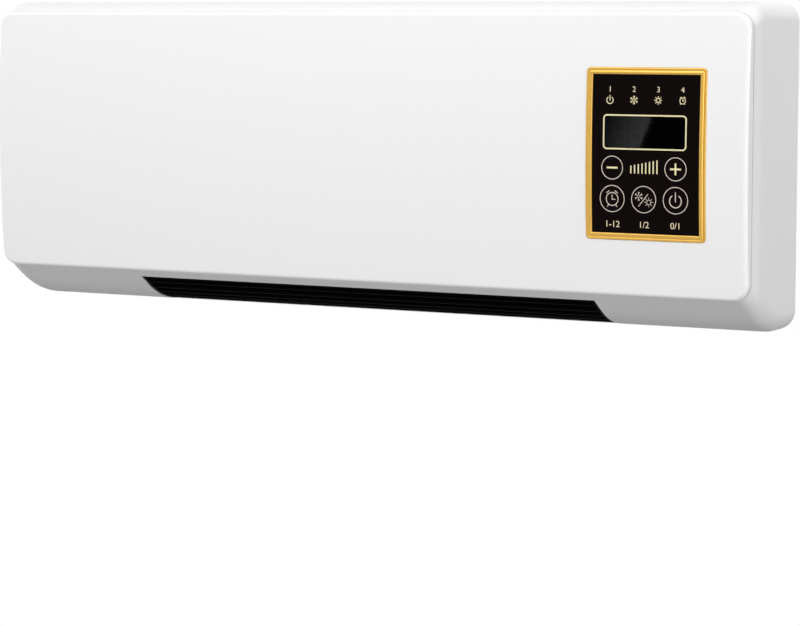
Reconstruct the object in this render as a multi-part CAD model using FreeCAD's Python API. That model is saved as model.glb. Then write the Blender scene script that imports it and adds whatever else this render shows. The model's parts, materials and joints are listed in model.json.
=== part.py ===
import FreeCAD, Part
import math
import os

# Wall-hung ceramic fan heater. Millimetres. X runs to the right, Y into the wall, Z up.
# The origin is midway between the two hanging holes, on the wall plane.

# One overrun serves every cut, and one slip fit every press or push fit between fixed pieces
overrun = 1.0
slip_fit = 0.05

# Front cover: a crowned cap
panel_width = 522.0
panel_height = 164.0
panel_corner_radius = 10.0
panel_edge_radius = 2.6
panel_crown = 4.0
cover_side = 1.2
cover_wall = 2.4
cover_boss_radius = 3.8
cover_pilot_radius = 1.3
seam_gap = 0.6
hang_drop = 42.0

# Rear housing: it spreads from the cover's outline to a wider outline at the wall
case_depth = 64.0
case_wall = 2.6
back_wall = 2.6
case_corner_radius = 12.0
top_slope = math.radians(35.0)
top_arc_radius = 33.0
side_slope = math.radians(20.0)
side_arc_radius = 35.0
bottom_slope = math.radians(35.0)
bottom_straight = 16.0
bottom_arc_radius = 60.0
station_shares = (0.0, 0.08, 0.16, 0.25, 0.35, 0.46, 0.58, 0.7, 0.8, 0.9, 1.0)
lip_thickness = 1.6
lip_clearance = 0.3
lip_shelf = 2.0
lip_root = 1.0

# Hanging holes in the back: a round entry for the screw's head and a slot above it
keyhole_spacing = 380.0
keyhole_head_radius = 4.5
keyhole_slot_width = 5.0
keyhole_rise = 9.0

# Air inlet: a row of slots in the top wall
inlet_side_margin = 32.0
inlet_slot_width = 4.0
inlet_pitch = 8.0
inlet_length = 30.0
inlet_wall_margin = 12.0

# Cover screws, in tunnels from the back
tunnel_radius = 4.6
tunnel_bore_radius = 3.3
tunnel_floor = 3.0
tunnel_depth = 40.0
tunnel_side_margin = 18.0
tunnel_end_margin = 16.0
tunnel_middle_x = 90.0
tunnel_gap = 0.1
cover_screw_head_radius = 2.9
cover_screw_head_height = 2.2
cover_screw_radius = 1.25
cover_screw_length = 14.0
cover_screw_clearance = 0.4

# Outlet in the bottom flare, and the slatted grille in it
outlet_side_margin = 101.0
outlet_start = 8.0
outlet_end_slope = math.radians(4.0)
grille_fit = 0.25
grille_recess = 0.4
grille_depth = 8.0
grille_band = 2.4
flange_reach = 3.0
flange_thickness = 1.5
flange_gap = 0.15
slat_count = 5
slat_thickness = 1.8
slat_depth = 6.6
slat_lean = math.radians(35.0)
slat_recess = 0.5
rib_count = 7
rib_thickness = 1.6
rib_recess = 4.2

# Control panel: gold frame, black fascia, display window
control_width = 75.0
control_height = 99.2
control_lift = 0.6
control_margin = 25.2
control_corner_radius = 2.6
frame_band = 3.9
frame_proud = 0.9
frame_step = 0.45
frame_step_width = 1.2
control_fit = 0.15
fascia_thickness = 3.0
fascia_sink = 0.2
tray_floor = 2.0
tray_wall = 2.0
window_width = 50.4
window_height = 18.4
window_shift_x = -0.6
window_rise = 12.6
window_ledge = 2.2
lamp_pitch = 15.1
lamp_rise = 31.0
lamp_radius = 2.3
lamp_hole_radius = 1.7

# Keys: rows of round caps, each with a flange behind the fascia and a stem
key_pitch = 19.8
key_shift_x = -0.9
key_upper_drop = 8.0
key_lower_drop = 25.9
key_small_radius = 7.0
key_large_radius = 8.0
key_clearance = 0.2
key_flange = 0.7
key_flange_thickness = 1.2
key_flange_clearance = 0.35
key_stem_radius = 2.0
key_travel = 0.5
key_press_gap = 0.1

# Control board on posts behind the fascia
board_thickness = 1.6
control_board_margin = 2.5
control_post_height = 6.5
control_post_radius = 3.0
control_post_inset = 4.0
board_screw_radius = 1.05
board_screw_clearance = 0.35
board_screw_head_radius = 2.5
board_screw_head_height = 1.7
board_screw_reach = 3.6
switch_side = 6.2
switch_height = 3.4
switch_plunger_radius = 1.7
switch_plunger_height = 1.1
display_width = 46.0
display_height = 16.0
display_gap = 0.3
led_radius = 1.5
led_flange_radius = 1.9
led_flange_height = 1.0
led_gap = 0.6
receiver_width = 5.2
receiver_height = 6.2
receiver_depth = 4.0
receiver_lens_radius = 1.9
receiver_lens = 1.4
receiver_shift_x = 30.4
buzzer_radius = 6.0
buzzer_height = 7.5
buzzer_hole_radius = 1.0
buzzer_shift_x = 17.0
buzzer_rise = 16.5

# Cross-flow fan wheel on an axis along X
wheel_depth_share = 0.34375
wheel_end_margin = 10.0
wheel_disc = 2.0
wheel_ring = 1.6
wheel_ring_count = 3
wheel_ring_depth = 7.0
blade_count = 24
blade_depth = 6.0
blade_thickness = 1.0
blade_sweep = math.radians(18.0)
blade_bulge = math.radians(4.0)
hub_radius = 7.0
hub_length = 12.0
fan_rise = 12.0
pivot_radius = 2.5
pivot_tail = 2.0
running_fit = 0.06
bearing_radius = 6.0
bearing_length = 8.0
mount_flange_radius = 11.5
mount_neck_radius = 9.0
mount_flange = 1.4

# Air duct round the wheel
duct_gap = 3.0
duct_plate = 2.0
duct_post = 3.4
duct_post_radius = 3.8
duct_foot = 14.0
duct_foot_height = 14.0
duct_top_gap = 4.0
duct_front_gap = 1.0
duct_front_rise = 14.0
duct_rear_fall = 11.0
duct_foot_drop = 72.0
duct_screw_radius = 1.3
duct_screw_head_radius = 2.8
duct_screw_head_height = 1.8
duct_screw_skin = 1.0
scroll_gap = 5.5
scroll_shift_front = 1.0
scroll_shift_down = 3.5
scroll_thickness = 1.6
scroll_clearance = 0.5
scroll_start = math.radians(55.0)
scroll_tail_radius = 26.0
scroll_tail_angle = math.radians(25.0)
tongue_gap = 2.6
tongue_reach_share = 0.9
tongue_thickness = 1.6
tongue_shelf_gap = 1.5

# Shaded-pole motor left of the duct
motor_gap = 15.0
motor_opening_radius = 10.0
stack_length = 14.0
stator_width = 42.0
stator_above = 20.0
stator_below = 46.0
stator_window_width = 22.0
stator_window_top = 18.0
stator_window_height = 14.0
stator_slot_width = 2.4
rotor_radius = 13.0
air_gap = 0.35
rotor_end_gap = 0.5
coil_overhang = 8.0
coil_height = 6.4
coil_clearance = 0.4
bracket_thickness = 2.0
bracket_height = 13.0
bracket_hub_radius = 8.5
bracket_tip_radius = 5.5
bracket_hub_length = 9.0
motor_bearing_radius = 4.5
motor_bearing_length = 6.0
motor_bearing_setback = 1.0
shaft_radius = 2.5
shaft_tail = 3.0
spacer_radius = 3.4
motor_screw_radius = 1.5
motor_screw_clearance = 0.2
motor_screw_head_radius = 2.8
motor_screw_head_height = 2.2
motor_screw_span_share = 0.8

# Ceramic heating element across the air path
element_rise = 24.0
element_side_gap = 4.3
element_height = 16.0
element_tube_count = 2
tube_thickness = 4.6
tube_wall = 0.8
tile_count = 11
tile_clearance = 0.1
tile_gap = 1.0
fin_pitch = 5.0
fin_thickness = 0.5
holder_length = 8.0
holder_margin = 2.2
holder_rim = 2.0
holder_pocket = 6.0
holder_fit = 0.15
terminal_width = 6.3
terminal_thickness = 0.8
terminal_length = 8.0
cutout_radius = 8.0
cutout_height = 6.0
cutout_cap_radius = 6.8
cutout_cap_height = 3.0
cutout_drop = 34.0
fuse_radius = 2.2
fuse_length = 13.0
fuse_lead_radius = 0.6
fuse_lead_length = 9.0
fuse_foot = 1.2
fuse_shift_x = 40.0

# Power board on posts at the right of the duct
power_board_gap = 1.0
power_board_width = 66.0
power_board_height = 60.0
power_board_drop = 35.0
power_post_height = 8.0
power_post_radius = 3.2
power_post_inset = 4.5
relay_width = 15.0
relay_height = 19.0
relay_depth = 15.5
relay_corner_radius = 1.0
relay_pitch = 18.0
relay_shift_x = -20.0
relay_shift_z = 12.0
capacitor_width = 18.0
capacitor_height = 9.0
capacitor_depth = 15.0
capacitor_shift_x = -20.0
capacitor_shift_z = -8.0
transformer_width = 22.0
transformer_height = 18.0
transformer_depth = 17.0
transformer_coil_share = 0.62
transformer_core = 6.0
transformer_shift_x = 18.0
transformer_shift_z = 12.0
terminal_block_width = 34.0
terminal_block_height = 12.0
terminal_block_depth = 14.0
terminal_block_way_count = 4
terminal_block_screw_radius = 2.2
terminal_block_screw_sink = 3.0
terminal_block_shift_x = 7.0
terminal_block_shift_z = -18.0

# Cord gland in the left wall
gland_bore_radius = 3.6
gland_body_radius = 6.4
gland_flange_radius = 9.0
gland_flange = 1.6
gland_nut = 4.0
gland_nut_radius = 8.4
gland_tail = 6.0
gland_fit = 0.2
gland_seat = 0.15
gland_depth = 22.0
gland_rise = 26.0

# Places worked out from the sizes above
rim_y = -case_depth
cover_back_y = rim_y - seam_gap
face_edge_y = cover_back_y - cover_side - panel_edge_radius
face_apex_y = face_edge_y - panel_crown
lip_height = rim_y - face_edge_y - cover_wall - lip_clearance
panel_top_z = hang_drop
panel_bottom_z = panel_top_z - panel_height
panel_mid_z = panel_top_z - panel_height / 2
crown_radius = ((panel_height / 2) ** 2 + panel_crown ** 2) / (2 * panel_crown)
crown_axis_y = face_apex_y + crown_radius
bottom_bend_run = bottom_straight / math.cos(bottom_slope)
outlet_end = bottom_bend_run + bottom_arc_radius * (bottom_slope - outlet_end_slope)
back_inner_y = -back_wall
outlet_width = panel_width - 2 * outlet_side_margin
inlet_slot_count = int((outlet_width - inlet_side_margin) / inlet_pitch)

control_x = panel_width / 2 - control_margin - control_width / 2
control_z = panel_mid_z + control_lift
fascia_width = control_width - 2 * frame_band
fascia_height = control_height - 2 * frame_band
fascia_back_y = face_apex_y + fascia_sink + fascia_thickness
tray_back_y = fascia_back_y + tray_floor
control_board_y = tray_back_y + control_post_height
control_board_width = control_width - 2 * control_board_margin
control_board_height = control_height - 2 * control_board_margin
switch_top_y = control_board_y - switch_height - switch_plunger_height
key_places = {
    "key_minus": (-key_pitch, -key_upper_drop, key_small_radius),
    "key_plus": (key_pitch, -key_upper_drop, key_small_radius),
    "key_timer": (-key_pitch, -key_lower_drop, key_large_radius),
    "key_mode": (0.0, -key_lower_drop, key_large_radius),
    "key_power": (key_pitch, -key_lower_drop, key_large_radius),
}

wheel_radius = case_depth * wheel_depth_share
blade_inner_radius = wheel_radius - blade_depth
wheel_half = outlet_width / 2 - wheel_end_margin
duct_inner_x = wheel_half + duct_gap
duct_outer_x = duct_inner_x + duct_plate
duct_back_y = back_inner_y - duct_post
scroll_radius = wheel_radius + scroll_gap
scroll_rear_y = duct_back_y - scroll_clearance - scroll_thickness
fan_y = scroll_rear_y - scroll_radius + scroll_shift_front
fan_z = panel_mid_z + fan_rise
scroll_centre_y = fan_y - scroll_shift_front
scroll_centre_z = fan_z - scroll_shift_down
tongue_y = fan_y - wheel_radius * tongue_reach_share
tongue_top_z = fan_z - math.sqrt((wheel_radius + tongue_gap) ** 2 - (fan_y - tongue_y) ** 2)
duct_front_y = fan_y - wheel_radius - duct_front_gap
duct_top_z = fan_z + wheel_radius + duct_top_gap
duct_front_z = panel_bottom_z + duct_front_rise
duct_rear_z = panel_bottom_z - duct_rear_fall
element_mid_y = (tongue_y + scroll_rear_y) / 2
element_mid_z = duct_front_z + element_rise
element_half = duct_inner_x - holder_length
element_width = scroll_rear_y - tongue_y - 2 * element_side_gap
fin_depth = (element_width - element_tube_count * tube_thickness) / (element_tube_count + 1)
stack_near_x = -duct_outer_x - motor_gap
stack_far_x = stack_near_x - stack_length
motor_screw_span = stator_width * motor_screw_span_share / 2
power_board_x = duct_outer_x + duct_foot + power_board_gap + power_board_width / 2
power_board_z = -power_board_drop - power_board_height / 2
power_board_y = back_inner_y - power_post_height - board_thickness
side_x = panel_width / 2 + side_arc_radius * (1 - math.cos(side_slope))
gland_z = panel_bottom_z + gland_rise


def vector(x, y, z):
    """A point or direction."""
    return FreeCAD.Vector(x, y, z)


def block(x0, x1, y0, y1, z0, z1):
    """A box from one corner to the other."""
    return Part.makeBox(x1 - x0, y1 - y0, z1 - z0, vector(x0, y0, z0))


def rod_x(radius, x0, x1, y, z):
    """A cylinder along X."""
    return Part.makeCylinder(radius, x1 - x0, vector(x0, y, z), vector(1, 0, 0))


def rod_y(radius, y0, y1, x, z):
    """A cylinder along Y."""
    return Part.makeCylinder(radius, y1 - y0, vector(x, y0, z), vector(0, 1, 0))


def rounded_outline(x0, x1, z0, z1, radius, y):
    """A rectangle with rounded corners, square to Y."""
    turn = radius * (1 - math.sqrt(0.5))
    lines = [
        (vector(x0 + radius, y, z0), vector(x1 - radius, y, z0)),
        (vector(x1, y, z0 + radius), vector(x1, y, z1 - radius)),
        (vector(x1 - radius, y, z1), vector(x0 + radius, y, z1)),
        (vector(x0, y, z1 - radius), vector(x0, y, z0 + radius)),
    ]
    middles = [
        vector(x1 - turn, y, z0 + turn),
        vector(x1 - turn, y, z1 - turn),
        vector(x0 + turn, y, z1 - turn),
        vector(x0 + turn, y, z0 + turn),
    ]
    edges = []
    for place, (start, end) in enumerate(lines):
        following = lines[(place + 1) % len(lines)][0]
        edges.append(Part.LineSegment(start, end).toShape())
        edges.append(Part.Arc(end, middles[place], following).toShape())
    return Part.Wire(edges)


def rounded_prism(x0, x1, z0, z1, radius, y0, y1):
    """A rounded rectangle drawn out along Y."""
    face = Part.Face(rounded_outline(x0, x1, z0, z1, radius, y0))
    return face.extrude(vector(0, y1 - y0, 0))


def drawn_along_x(edges, x0, x1):
    """A closed outline in the Y-Z plane, drawn out from x0 to x1."""
    face = Part.Face(Part.Wire(Part.__sortEdges__(edges)))
    face.translate(vector(x0, 0, 0))
    return face.extrude(vector(x1 - x0, 0, 0))


def polygon_edges(points):
    """Straight edges round a closed outline of (y, z) points."""
    corners = [vector(0, y, z) for y, z in points]
    pairs = zip(corners, corners[1:] + corners[:1])
    return [Part.LineSegment(start, end).toShape() for start, end in pairs]


def turned(points, y, z):
    """A ring-shaped solid: an outline of (x, radius) points turned about an axis along X."""
    corners = [vector(x, y, z + radius) for x, radius in points]
    face = Part.Face(Part.makePolygon(corners + corners[:1]))
    return face.revolve(vector(0, y, z), vector(1, 0, 0), 360)


def screw(head_radius, head_height, radius, length):
    """A plain screw along +Z, its head's seat at zero."""
    outline = [
        (0.0, -head_height),
        (head_radius, -head_height),
        (head_radius, 0.0),
        (radius, 0.0),
        (radius, length),
        (0.0, length),
    ]
    corners = [vector(across, 0, along) for across, along in outline]
    face = Part.Face(Part.makePolygon(corners + corners[:1]))
    return face.revolve(vector(0, 0, 0), vector(0, 0, 1), 360)


def set_along(shape, direction, place):
    """The shape, drawn along +Z at the origin, turned to a direction and put in its place."""
    shape.Placement = FreeCAD.Placement(place, FreeCAD.Rotation(vector(0, 0, 1), direction))
    return shape


def crown_y(z, inset):
    """Where the crowned front lies at a height, set in from its surface."""
    return crown_axis_y - math.sqrt((crown_radius - inset) ** 2 - (z - panel_mid_z) ** 2)


def under_crown(shape, inset):
    """The part of a shape that lies behind the crowned front, set in from its surface."""
    reach = panel_width
    crown = rod_x(crown_radius - inset, -reach, reach, crown_axis_y, panel_mid_z)
    return shape.common(crown)


def spread(depth, slope, straight, radius):
    """How far a wall has moved out at a depth: a straight slope, then an arc that levels out."""
    level = radius * math.sin(slope)
    on_arc = min(max(depth - straight, 0.0), level)
    lean = math.sin(slope) - on_arc / radius
    return min(depth, straight) * math.tan(slope) + radius * (math.sqrt(1 - lean ** 2) - math.cos(slope))


def case_section(depth, inset):
    """The housing's outline at a depth behind its front rim, set in by a wall."""
    half = panel_width / 2 + spread(depth, side_slope, 0.0, side_arc_radius) - inset
    top = panel_top_z + spread(depth, top_slope, 0.0, top_arc_radius) - inset
    bottom = panel_bottom_z - spread(depth, bottom_slope, bottom_straight, bottom_arc_radius) + inset
    growth = (case_corner_radius - panel_corner_radius) * depth / case_depth
    return rounded_outline(-half, half, bottom, top, panel_corner_radius + growth - inset, rim_y + depth)


def case_loft(start, end, inset):
    """The housing's form between two depths, set in by a wall."""
    depths = [start + share * (end - start) for share in station_shares]
    return Part.makeLoft([case_section(depth, inset) for depth in depths], True, False)


def bottom_point(run, inset):
    """A (y, z) point at a distance along the bottom flare from its front rim, set in from the surface."""
    on_slope = min(run, bottom_bend_run)
    y = rim_y + on_slope * math.cos(bottom_slope)
    z = panel_bottom_z - on_slope * math.sin(bottom_slope)
    lean = bottom_slope - max(run - bottom_bend_run, 0.0) / bottom_arc_radius
    y += bottom_arc_radius * (math.sin(bottom_slope) - math.sin(lean))
    z += bottom_arc_radius * (math.cos(bottom_slope) - math.cos(lean))
    return y + inset * math.sin(lean), z + inset * math.cos(lean)


def bottom_edges(start, end, inset):
    """The bottom flare's outline between two runs that lie on its slope and on its arc."""
    runs = (start, bottom_bend_run, (bottom_bend_run + end) / 2, end)
    first, bend, middle, last = [vector(0, *bottom_point(run, inset)) for run in runs]
    return [Part.LineSegment(first, bend).toShape(), Part.Arc(bend, middle, last).toShape()]


def bottom_sheet(start, end, outer, inner, half):
    """A sheet that follows the bottom flare between two runs and two insets."""
    edges = bottom_edges(start, end, outer) + bottom_edges(start, end, inner)
    for run in (start, end):
        ends = [vector(0, *bottom_point(run, inset)) for inset in (outer, inner)]
        edges.append(Part.LineSegment(*ends).toShape())
    return drawn_along_x(edges, -half, half)


def tunnel_places():
    """Where the cover's screws stand, as (x, z)."""
    side = panel_width / 2 - tunnel_side_margin
    top = panel_top_z - tunnel_end_margin
    bottom = panel_bottom_z + tunnel_end_margin
    corners = [(x, z) for x in (-side, side) for z in (bottom, top)]
    return corners + [(-tunnel_middle_x, top), (tunnel_middle_x, top)]


def duct_foot_places():
    """Where the duct's feet are screwed to the back wall, as (x, z)."""
    reach = duct_outer_x + duct_foot / 2
    top = duct_top_z - duct_foot_height / 2
    return [(x, z) for x in (-reach, reach) for z in (top, top - duct_foot_drop)]


def corner_places(x, z, width, height, inset):
    """The four corners of a board, each set in, as (x, z)."""
    across = width / 2 - inset
    up = height / 2 - inset
    return [(x + side * across, z + level * up) for side in (-1, 1) for level in (-1, 1)]


def power_post_places():
    """Where the power board's posts stand, as (x, z)."""
    size = (power_board_width, power_board_height)
    return corner_places(power_board_x, power_board_z, *size, power_post_inset)


def control_post_places():
    """Where the control board's posts stand, as (x, z)."""
    size = (control_board_width, control_board_height)
    return corner_places(control_x, control_z, *size, control_post_inset)


def lamp_places():
    """Where the four indicator lamps stand, as (x, z)."""
    return [(control_x + lamp_pitch * step, control_z + lamp_rise) for step in (-1.5, -0.5, 0.5, 1.5)]


def panel_ring(outer, inner, y0, y1):
    """A ring that follows the cover's outline between two insets."""
    rings = []
    for inset, extra in ((outer, 0.0), (inner, overrun)):
        half = panel_width / 2 - inset
        radius = panel_corner_radius - inset
        low = panel_bottom_z + inset
        high = panel_top_z - inset
        rings.append(rounded_prism(-half, half, low, high, radius, y0 - extra, y1 + extra))
    return rings[0].cut(rings[1])


def keyhole_cut(x):
    """A hanging hole: a round entry with a narrower slot above it."""
    head = rod_y(keyhole_head_radius, back_inner_y - overrun, overrun, x, 0)
    half = keyhole_slot_width / 2
    slot = block(x - half, x + half, back_inner_y - overrun, overrun, 0, keyhole_rise)
    top = rod_y(half, back_inner_y - overrun, overrun, x, keyhole_rise)
    return head.fuse([slot, top]).removeSplitter()


def inlet_cuts():
    """The row of slots through the top wall."""
    top = panel_top_z + spread(case_depth, top_slope, 0.0, top_arc_radius)
    first = -inlet_pitch * (inlet_slot_count - 1) / 2
    rear = -inlet_wall_margin
    cuts = []
    for number in range(inlet_slot_count):
        x = first + number * inlet_pitch
        left = x - inlet_slot_width / 2
        low = top - case_wall - overrun
        cuts.append(block(left, left + inlet_slot_width, rear - inlet_length, rear, low, top + overrun))
    return cuts


def rear_housing():
    """The flared housing with its back wall, openings, screw tunnels and posts."""
    body = case_loft(0.0, case_depth, 0.0)
    body = body.cut(case_loft(-overrun, case_depth - back_wall, case_wall))
    lip_outer = cover_wall + lip_clearance
    lip_inner = lip_outer + lip_thickness
    added = [
        panel_ring(lip_root, lip_inner, rim_y, rim_y + lip_shelf),
        panel_ring(lip_outer, lip_inner, rim_y - lip_height, rim_y + lip_shelf),
    ]
    cuts = [bottom_sheet(outlet_start, outlet_end, -overrun, case_wall + overrun, outlet_width / 2)]
    cuts += [keyhole_cut(x) for x in (-keyhole_spacing / 2, keyhole_spacing / 2)]
    cuts += inlet_cuts()
    tunnel_end = -tunnel_depth - tunnel_floor
    for x, z in tunnel_places():
        added.append(rod_y(tunnel_radius, tunnel_end, back_inner_y / 2, x, z))
        cuts.append(rod_y(tunnel_bore_radius, -tunnel_depth, overrun, x, z))
        cuts.append(rod_y(cover_screw_radius + cover_screw_clearance, tunnel_end - overrun, overrun, x, z))
    for x, z in duct_foot_places():
        added.append(rod_y(duct_post_radius, duct_back_y, back_inner_y / 2, x, z))
        end = -duct_screw_skin + slip_fit
        cuts.append(rod_y(duct_screw_radius + slip_fit, duct_back_y - overrun, end, x, z))
    board_back = power_board_y + board_thickness
    for x, z in power_post_places():
        added.append(rod_y(power_post_radius, board_back, back_inner_y / 2, x, z))
        end = board_back + board_screw_reach
        cuts.append(rod_y(board_screw_radius + slip_fit, board_back - overrun, end, x, z))
    span = (-side_x - overrun, -side_x + case_wall + overrun)
    cuts.append(rod_x(gland_body_radius + gland_fit, *span, -gland_depth, gland_z))
    return body.fuse(added).cut(cuts)


def cover_form(inset):
    """The cover's crowned form, set in by a wall. The outer form has rounded front edges."""
    half = panel_width / 2 - inset
    low = panel_bottom_z + inset
    high = panel_top_z - inset
    start = face_apex_y - overrun
    end = cover_back_y + (overrun if inset else 0.0)
    form = under_crown(rounded_prism(-half, half, low, high, panel_corner_radius - inset, start, end), inset)
    if inset:
        return form
    front = min(form.Faces, key=lambda face: face.CenterOfMass.y)
    return form.makeFillet(panel_edge_radius, front.Edges)


def control_area(shrink, y0, y1, radius):
    """A prism on the control panel's outline, shrunk or grown."""
    across = control_width / 2 - shrink
    up = control_height / 2 - shrink
    sides = (control_x - across, control_x + across, control_z - up, control_z + up)
    return rounded_prism(*sides, radius, y0, y1)


def window_area(shrink, y0, y1):
    """A prism on the display window's outline, shrunk or grown."""
    across = window_width / 2 - shrink
    up = window_height / 2 - shrink
    x = control_x + window_shift_x
    z = control_z + window_rise
    return block(x - across, x + across, y0, y1, z - up, z + up)


def key_centre(name):
    """A key's axis, as (x, z)."""
    across, up, radius = key_places[name]
    return control_x + key_shift_x + across, control_z + up


def front_cover():
    """The crowned cap with a sunk tray for the control panel, and bosses for the screws."""
    body = cover_form(0.0).cut(cover_form(cover_wall))
    start = face_apex_y - overrun
    tray = control_area(-tray_wall, start, tray_back_y, control_corner_radius + tray_wall)
    added = [under_crown(tray, cover_wall / 2)]
    cuts = [control_area(-control_fit, start, fascia_back_y, control_corner_radius + control_fit)]
    cuts.append(window_area(window_ledge, start, tray_back_y + overrun))
    for x, z in lamp_places():
        cuts.append(rod_y(lamp_hole_radius, start, tray_back_y + overrun, x, z))
    for name, (across, up, radius) in key_places.items():
        hole = radius + key_flange + key_flange_clearance
        cuts.append(rod_y(hole, start, tray_back_y + overrun, *key_centre(name)))
    for x, z in control_post_places():
        added.append(rod_y(control_post_radius, tray_back_y - tray_floor / 2, control_board_y, x, z))
        bottom = control_board_y - board_screw_reach
        cuts.append(rod_y(board_screw_radius + slip_fit, bottom, control_board_y + overrun, x, z))
    boss_end = -tunnel_depth - tunnel_floor - tunnel_gap
    for x, z in tunnel_places():
        added.append(rod_y(cover_boss_radius, crown_y(z, cover_wall / 2), boss_end, x, z))
        bottom = boss_end - cover_screw_length
        cuts.append(rod_y(cover_pilot_radius, bottom, boss_end + overrun, x, z))
    return body.fuse(added).cut(cuts)


def grille_slat(run):
    """One slat: a thin blade with a rounded nose, leaning forward, as edges of its section."""
    y, z = bottom_point(run, grille_recess + slat_recess + slat_thickness / 2)
    along = vector(0, math.sin(slat_lean), math.cos(slat_lean))
    across = vector(0, math.cos(slat_lean), -math.sin(slat_lean)) * (slat_thickness / 2)
    nose = vector(0, y, z)
    tail = nose + along * slat_depth
    tip = nose - along * (slat_thickness / 2)
    return [
        Part.Arc(nose - across, tip, nose + across).toShape(),
        Part.LineSegment(nose + across, tail + across).toShape(),
        Part.LineSegment(tail + across, tail - across).toShape(),
        Part.LineSegment(tail - across, nose - across).toShape(),
    ]


def outlet_grille():
    """The black outlet grille: a frame in the opening, a flange behind the wall, slats and set-back ribs."""
    half = outlet_width / 2 - grille_fit
    start = outlet_start + grille_fit
    end = outlet_end - grille_fit
    inner = grille_recess + grille_depth
    seat = case_wall + flange_gap
    frame = bottom_sheet(start, end, grille_recess, inner, half)
    runs = (start - flange_reach, end + flange_reach)
    flange = bottom_sheet(*runs, seat, seat + flange_thickness, half + flange_reach)
    clear = half - grille_band
    hole = bottom_sheet(start + grille_band, end - grille_band, -overrun, inner + overrun, clear)
    body = frame.fuse(flange).cut(hole)
    pieces = []
    for number in range(slat_count):
        run = start + (end - start) * (number + 1) / (slat_count + 1)
        pieces.append(drawn_along_x(grille_slat(run), -clear - grille_band / 2, clear + grille_band / 2))
    for number in range(rib_count):
        x = half * (2 * (number + 1) / (rib_count + 1) - 1)
        runs = (start + grille_band / 2, end - grille_band / 2)
        rib = bottom_sheet(*runs, rib_recess, inner, rib_thickness / 2)
        rib.translate(vector(x, 0, 0))
        pieces.append(rib)
    return body.fuse(pieces)


def control_frame():
    """The gold frame: a low outer step and a raised inner band that follow the crowned front."""
    start = face_apex_y - frame_proud - overrun
    low = under_crown(control_area(0.0, start, fascia_back_y, control_corner_radius), -frame_step)
    inner_radius = control_corner_radius - frame_step_width
    high = under_crown(control_area(frame_step_width, start, fascia_back_y, inner_radius), -frame_proud)
    across = fascia_width / 2
    up = fascia_height / 2
    sides = (control_x - across, control_x + across)
    hole = block(*sides, start, fascia_back_y + overrun, control_z - up, control_z + up)
    return low.fuse(high).cut(hole)


def control_fascia():
    """The black fascia: crowned in front, flat behind, with holes for the keys, lamps and window."""
    across = fascia_width / 2 - control_fit
    up = fascia_height / 2 - control_fit
    start = face_apex_y - overrun
    sides = (control_x - across, control_x + across)
    plate = block(*sides, start, fascia_back_y, control_z - up, control_z + up)
    cuts = [window_area(-control_fit, start, fascia_back_y + overrun)]
    for x, z in lamp_places():
        cuts.append(rod_y(lamp_radius + slip_fit, start, fascia_back_y + overrun, x, z))
    for name, (across, up, radius) in key_places.items():
        cuts.append(rod_y(radius + key_clearance, start, fascia_back_y + overrun, *key_centre(name)))
    return under_crown(plate, fascia_sink).cut(cuts)


def display_window():
    """The smoked window, flush with the fascia and seated on the tray's ledge."""
    return under_crown(window_area(0.0, face_apex_y - overrun, fascia_back_y), fascia_sink)


def indicator_lenses():
    """Four small round lenses, flush with the fascia."""
    rods = [rod_y(lamp_radius, face_apex_y - overrun, fascia_back_y, x, z) for x, z in lamp_places()]
    return Part.makeCompound([under_crown(rod, fascia_sink) for rod in rods])


def key(name):
    """A key: a cap flush with the fascia, a flange behind it and a stem that reaches to its switch."""
    radius = key_places[name][2]
    x, z = key_centre(name)
    flange_back = fascia_back_y + key_flange_thickness
    stem_end = switch_top_y - key_press_gap - key_travel
    cap = under_crown(rod_y(radius, face_apex_y - overrun, fascia_back_y, x, z), fascia_sink)
    flange = rod_y(radius + key_flange, fascia_back_y, flange_back, x, z)
    stem = rod_y(key_stem_radius, flange_back, stem_end, x, z)
    return cap.fuse([flange, stem]).removeSplitter()


def board(x, z, width, height, y, places):
    """A circuit board square to Y, with a screw hole at each of its places."""
    sides = (x - width / 2, x + width / 2, z - height / 2, z + height / 2)
    plate = rounded_prism(*sides, board_thickness, y, y + board_thickness)
    radius = board_screw_radius + board_screw_clearance
    return plate.cut([rod_y(radius, y - overrun, y + board_thickness + overrun, *place) for place in places])


def control_board():
    """The board behind the control panel."""
    size = (control_board_width, control_board_height)
    return board(control_x, control_z, *size, control_board_y, control_post_places())


def board_screws(places, seat, direction):
    """One screw at each of a board's places."""
    length = board_screw_reach + board_thickness - slip_fit
    solids = []
    for x, z in places:
        body = screw(board_screw_head_radius, board_screw_head_height, board_screw_radius, length)
        solids.append(set_along(body, vector(0, direction, 0), vector(x, seat, z)))
    return Part.makeCompound(solids)


def key_switches():
    """A push switch behind each key: a square body with a round plunger."""
    solids = []
    half = switch_side / 2
    for name in key_places:
        x, z = key_centre(name)
        top = control_board_y - switch_height
        body = block(x - half, x + half, top, control_board_y, z - half, z + half)
        solids.append(body.fuse(rod_y(switch_plunger_radius, switch_top_y, top, x, z)))
    return Part.makeCompound(solids)


def display_module():
    """The digit display behind the window."""
    x = control_x + window_shift_x
    z = control_z + window_rise
    across = display_width / 2
    up = display_height / 2
    return block(x - across, x + across, tray_back_y + display_gap, control_board_y, z - up, z + up)


def indicator_leds():
    """Four round lamps behind the indicator lenses, each with a flange on the board."""
    solids = []
    for x, z in lamp_places():
        seat = control_board_y - led_flange_height
        lamp = rod_y(led_radius, tray_back_y + led_gap, seat, x, z)
        solids.append(lamp.fuse(rod_y(led_flange_radius, seat, control_board_y, x, z)))
    return Part.makeCompound(solids)


def infrared_receiver():
    """The remote-signal receiver: a small block with a round lens."""
    x = control_x + receiver_shift_x
    z = control_z + window_rise
    half = receiver_width / 2
    front = control_board_y - receiver_depth
    body = block(x - half, x + half, front, control_board_y, z - receiver_height / 2, z + receiver_height / 2)
    return body.fuse(rod_y(receiver_lens_radius, front - receiver_lens, front, x, z))


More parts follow.
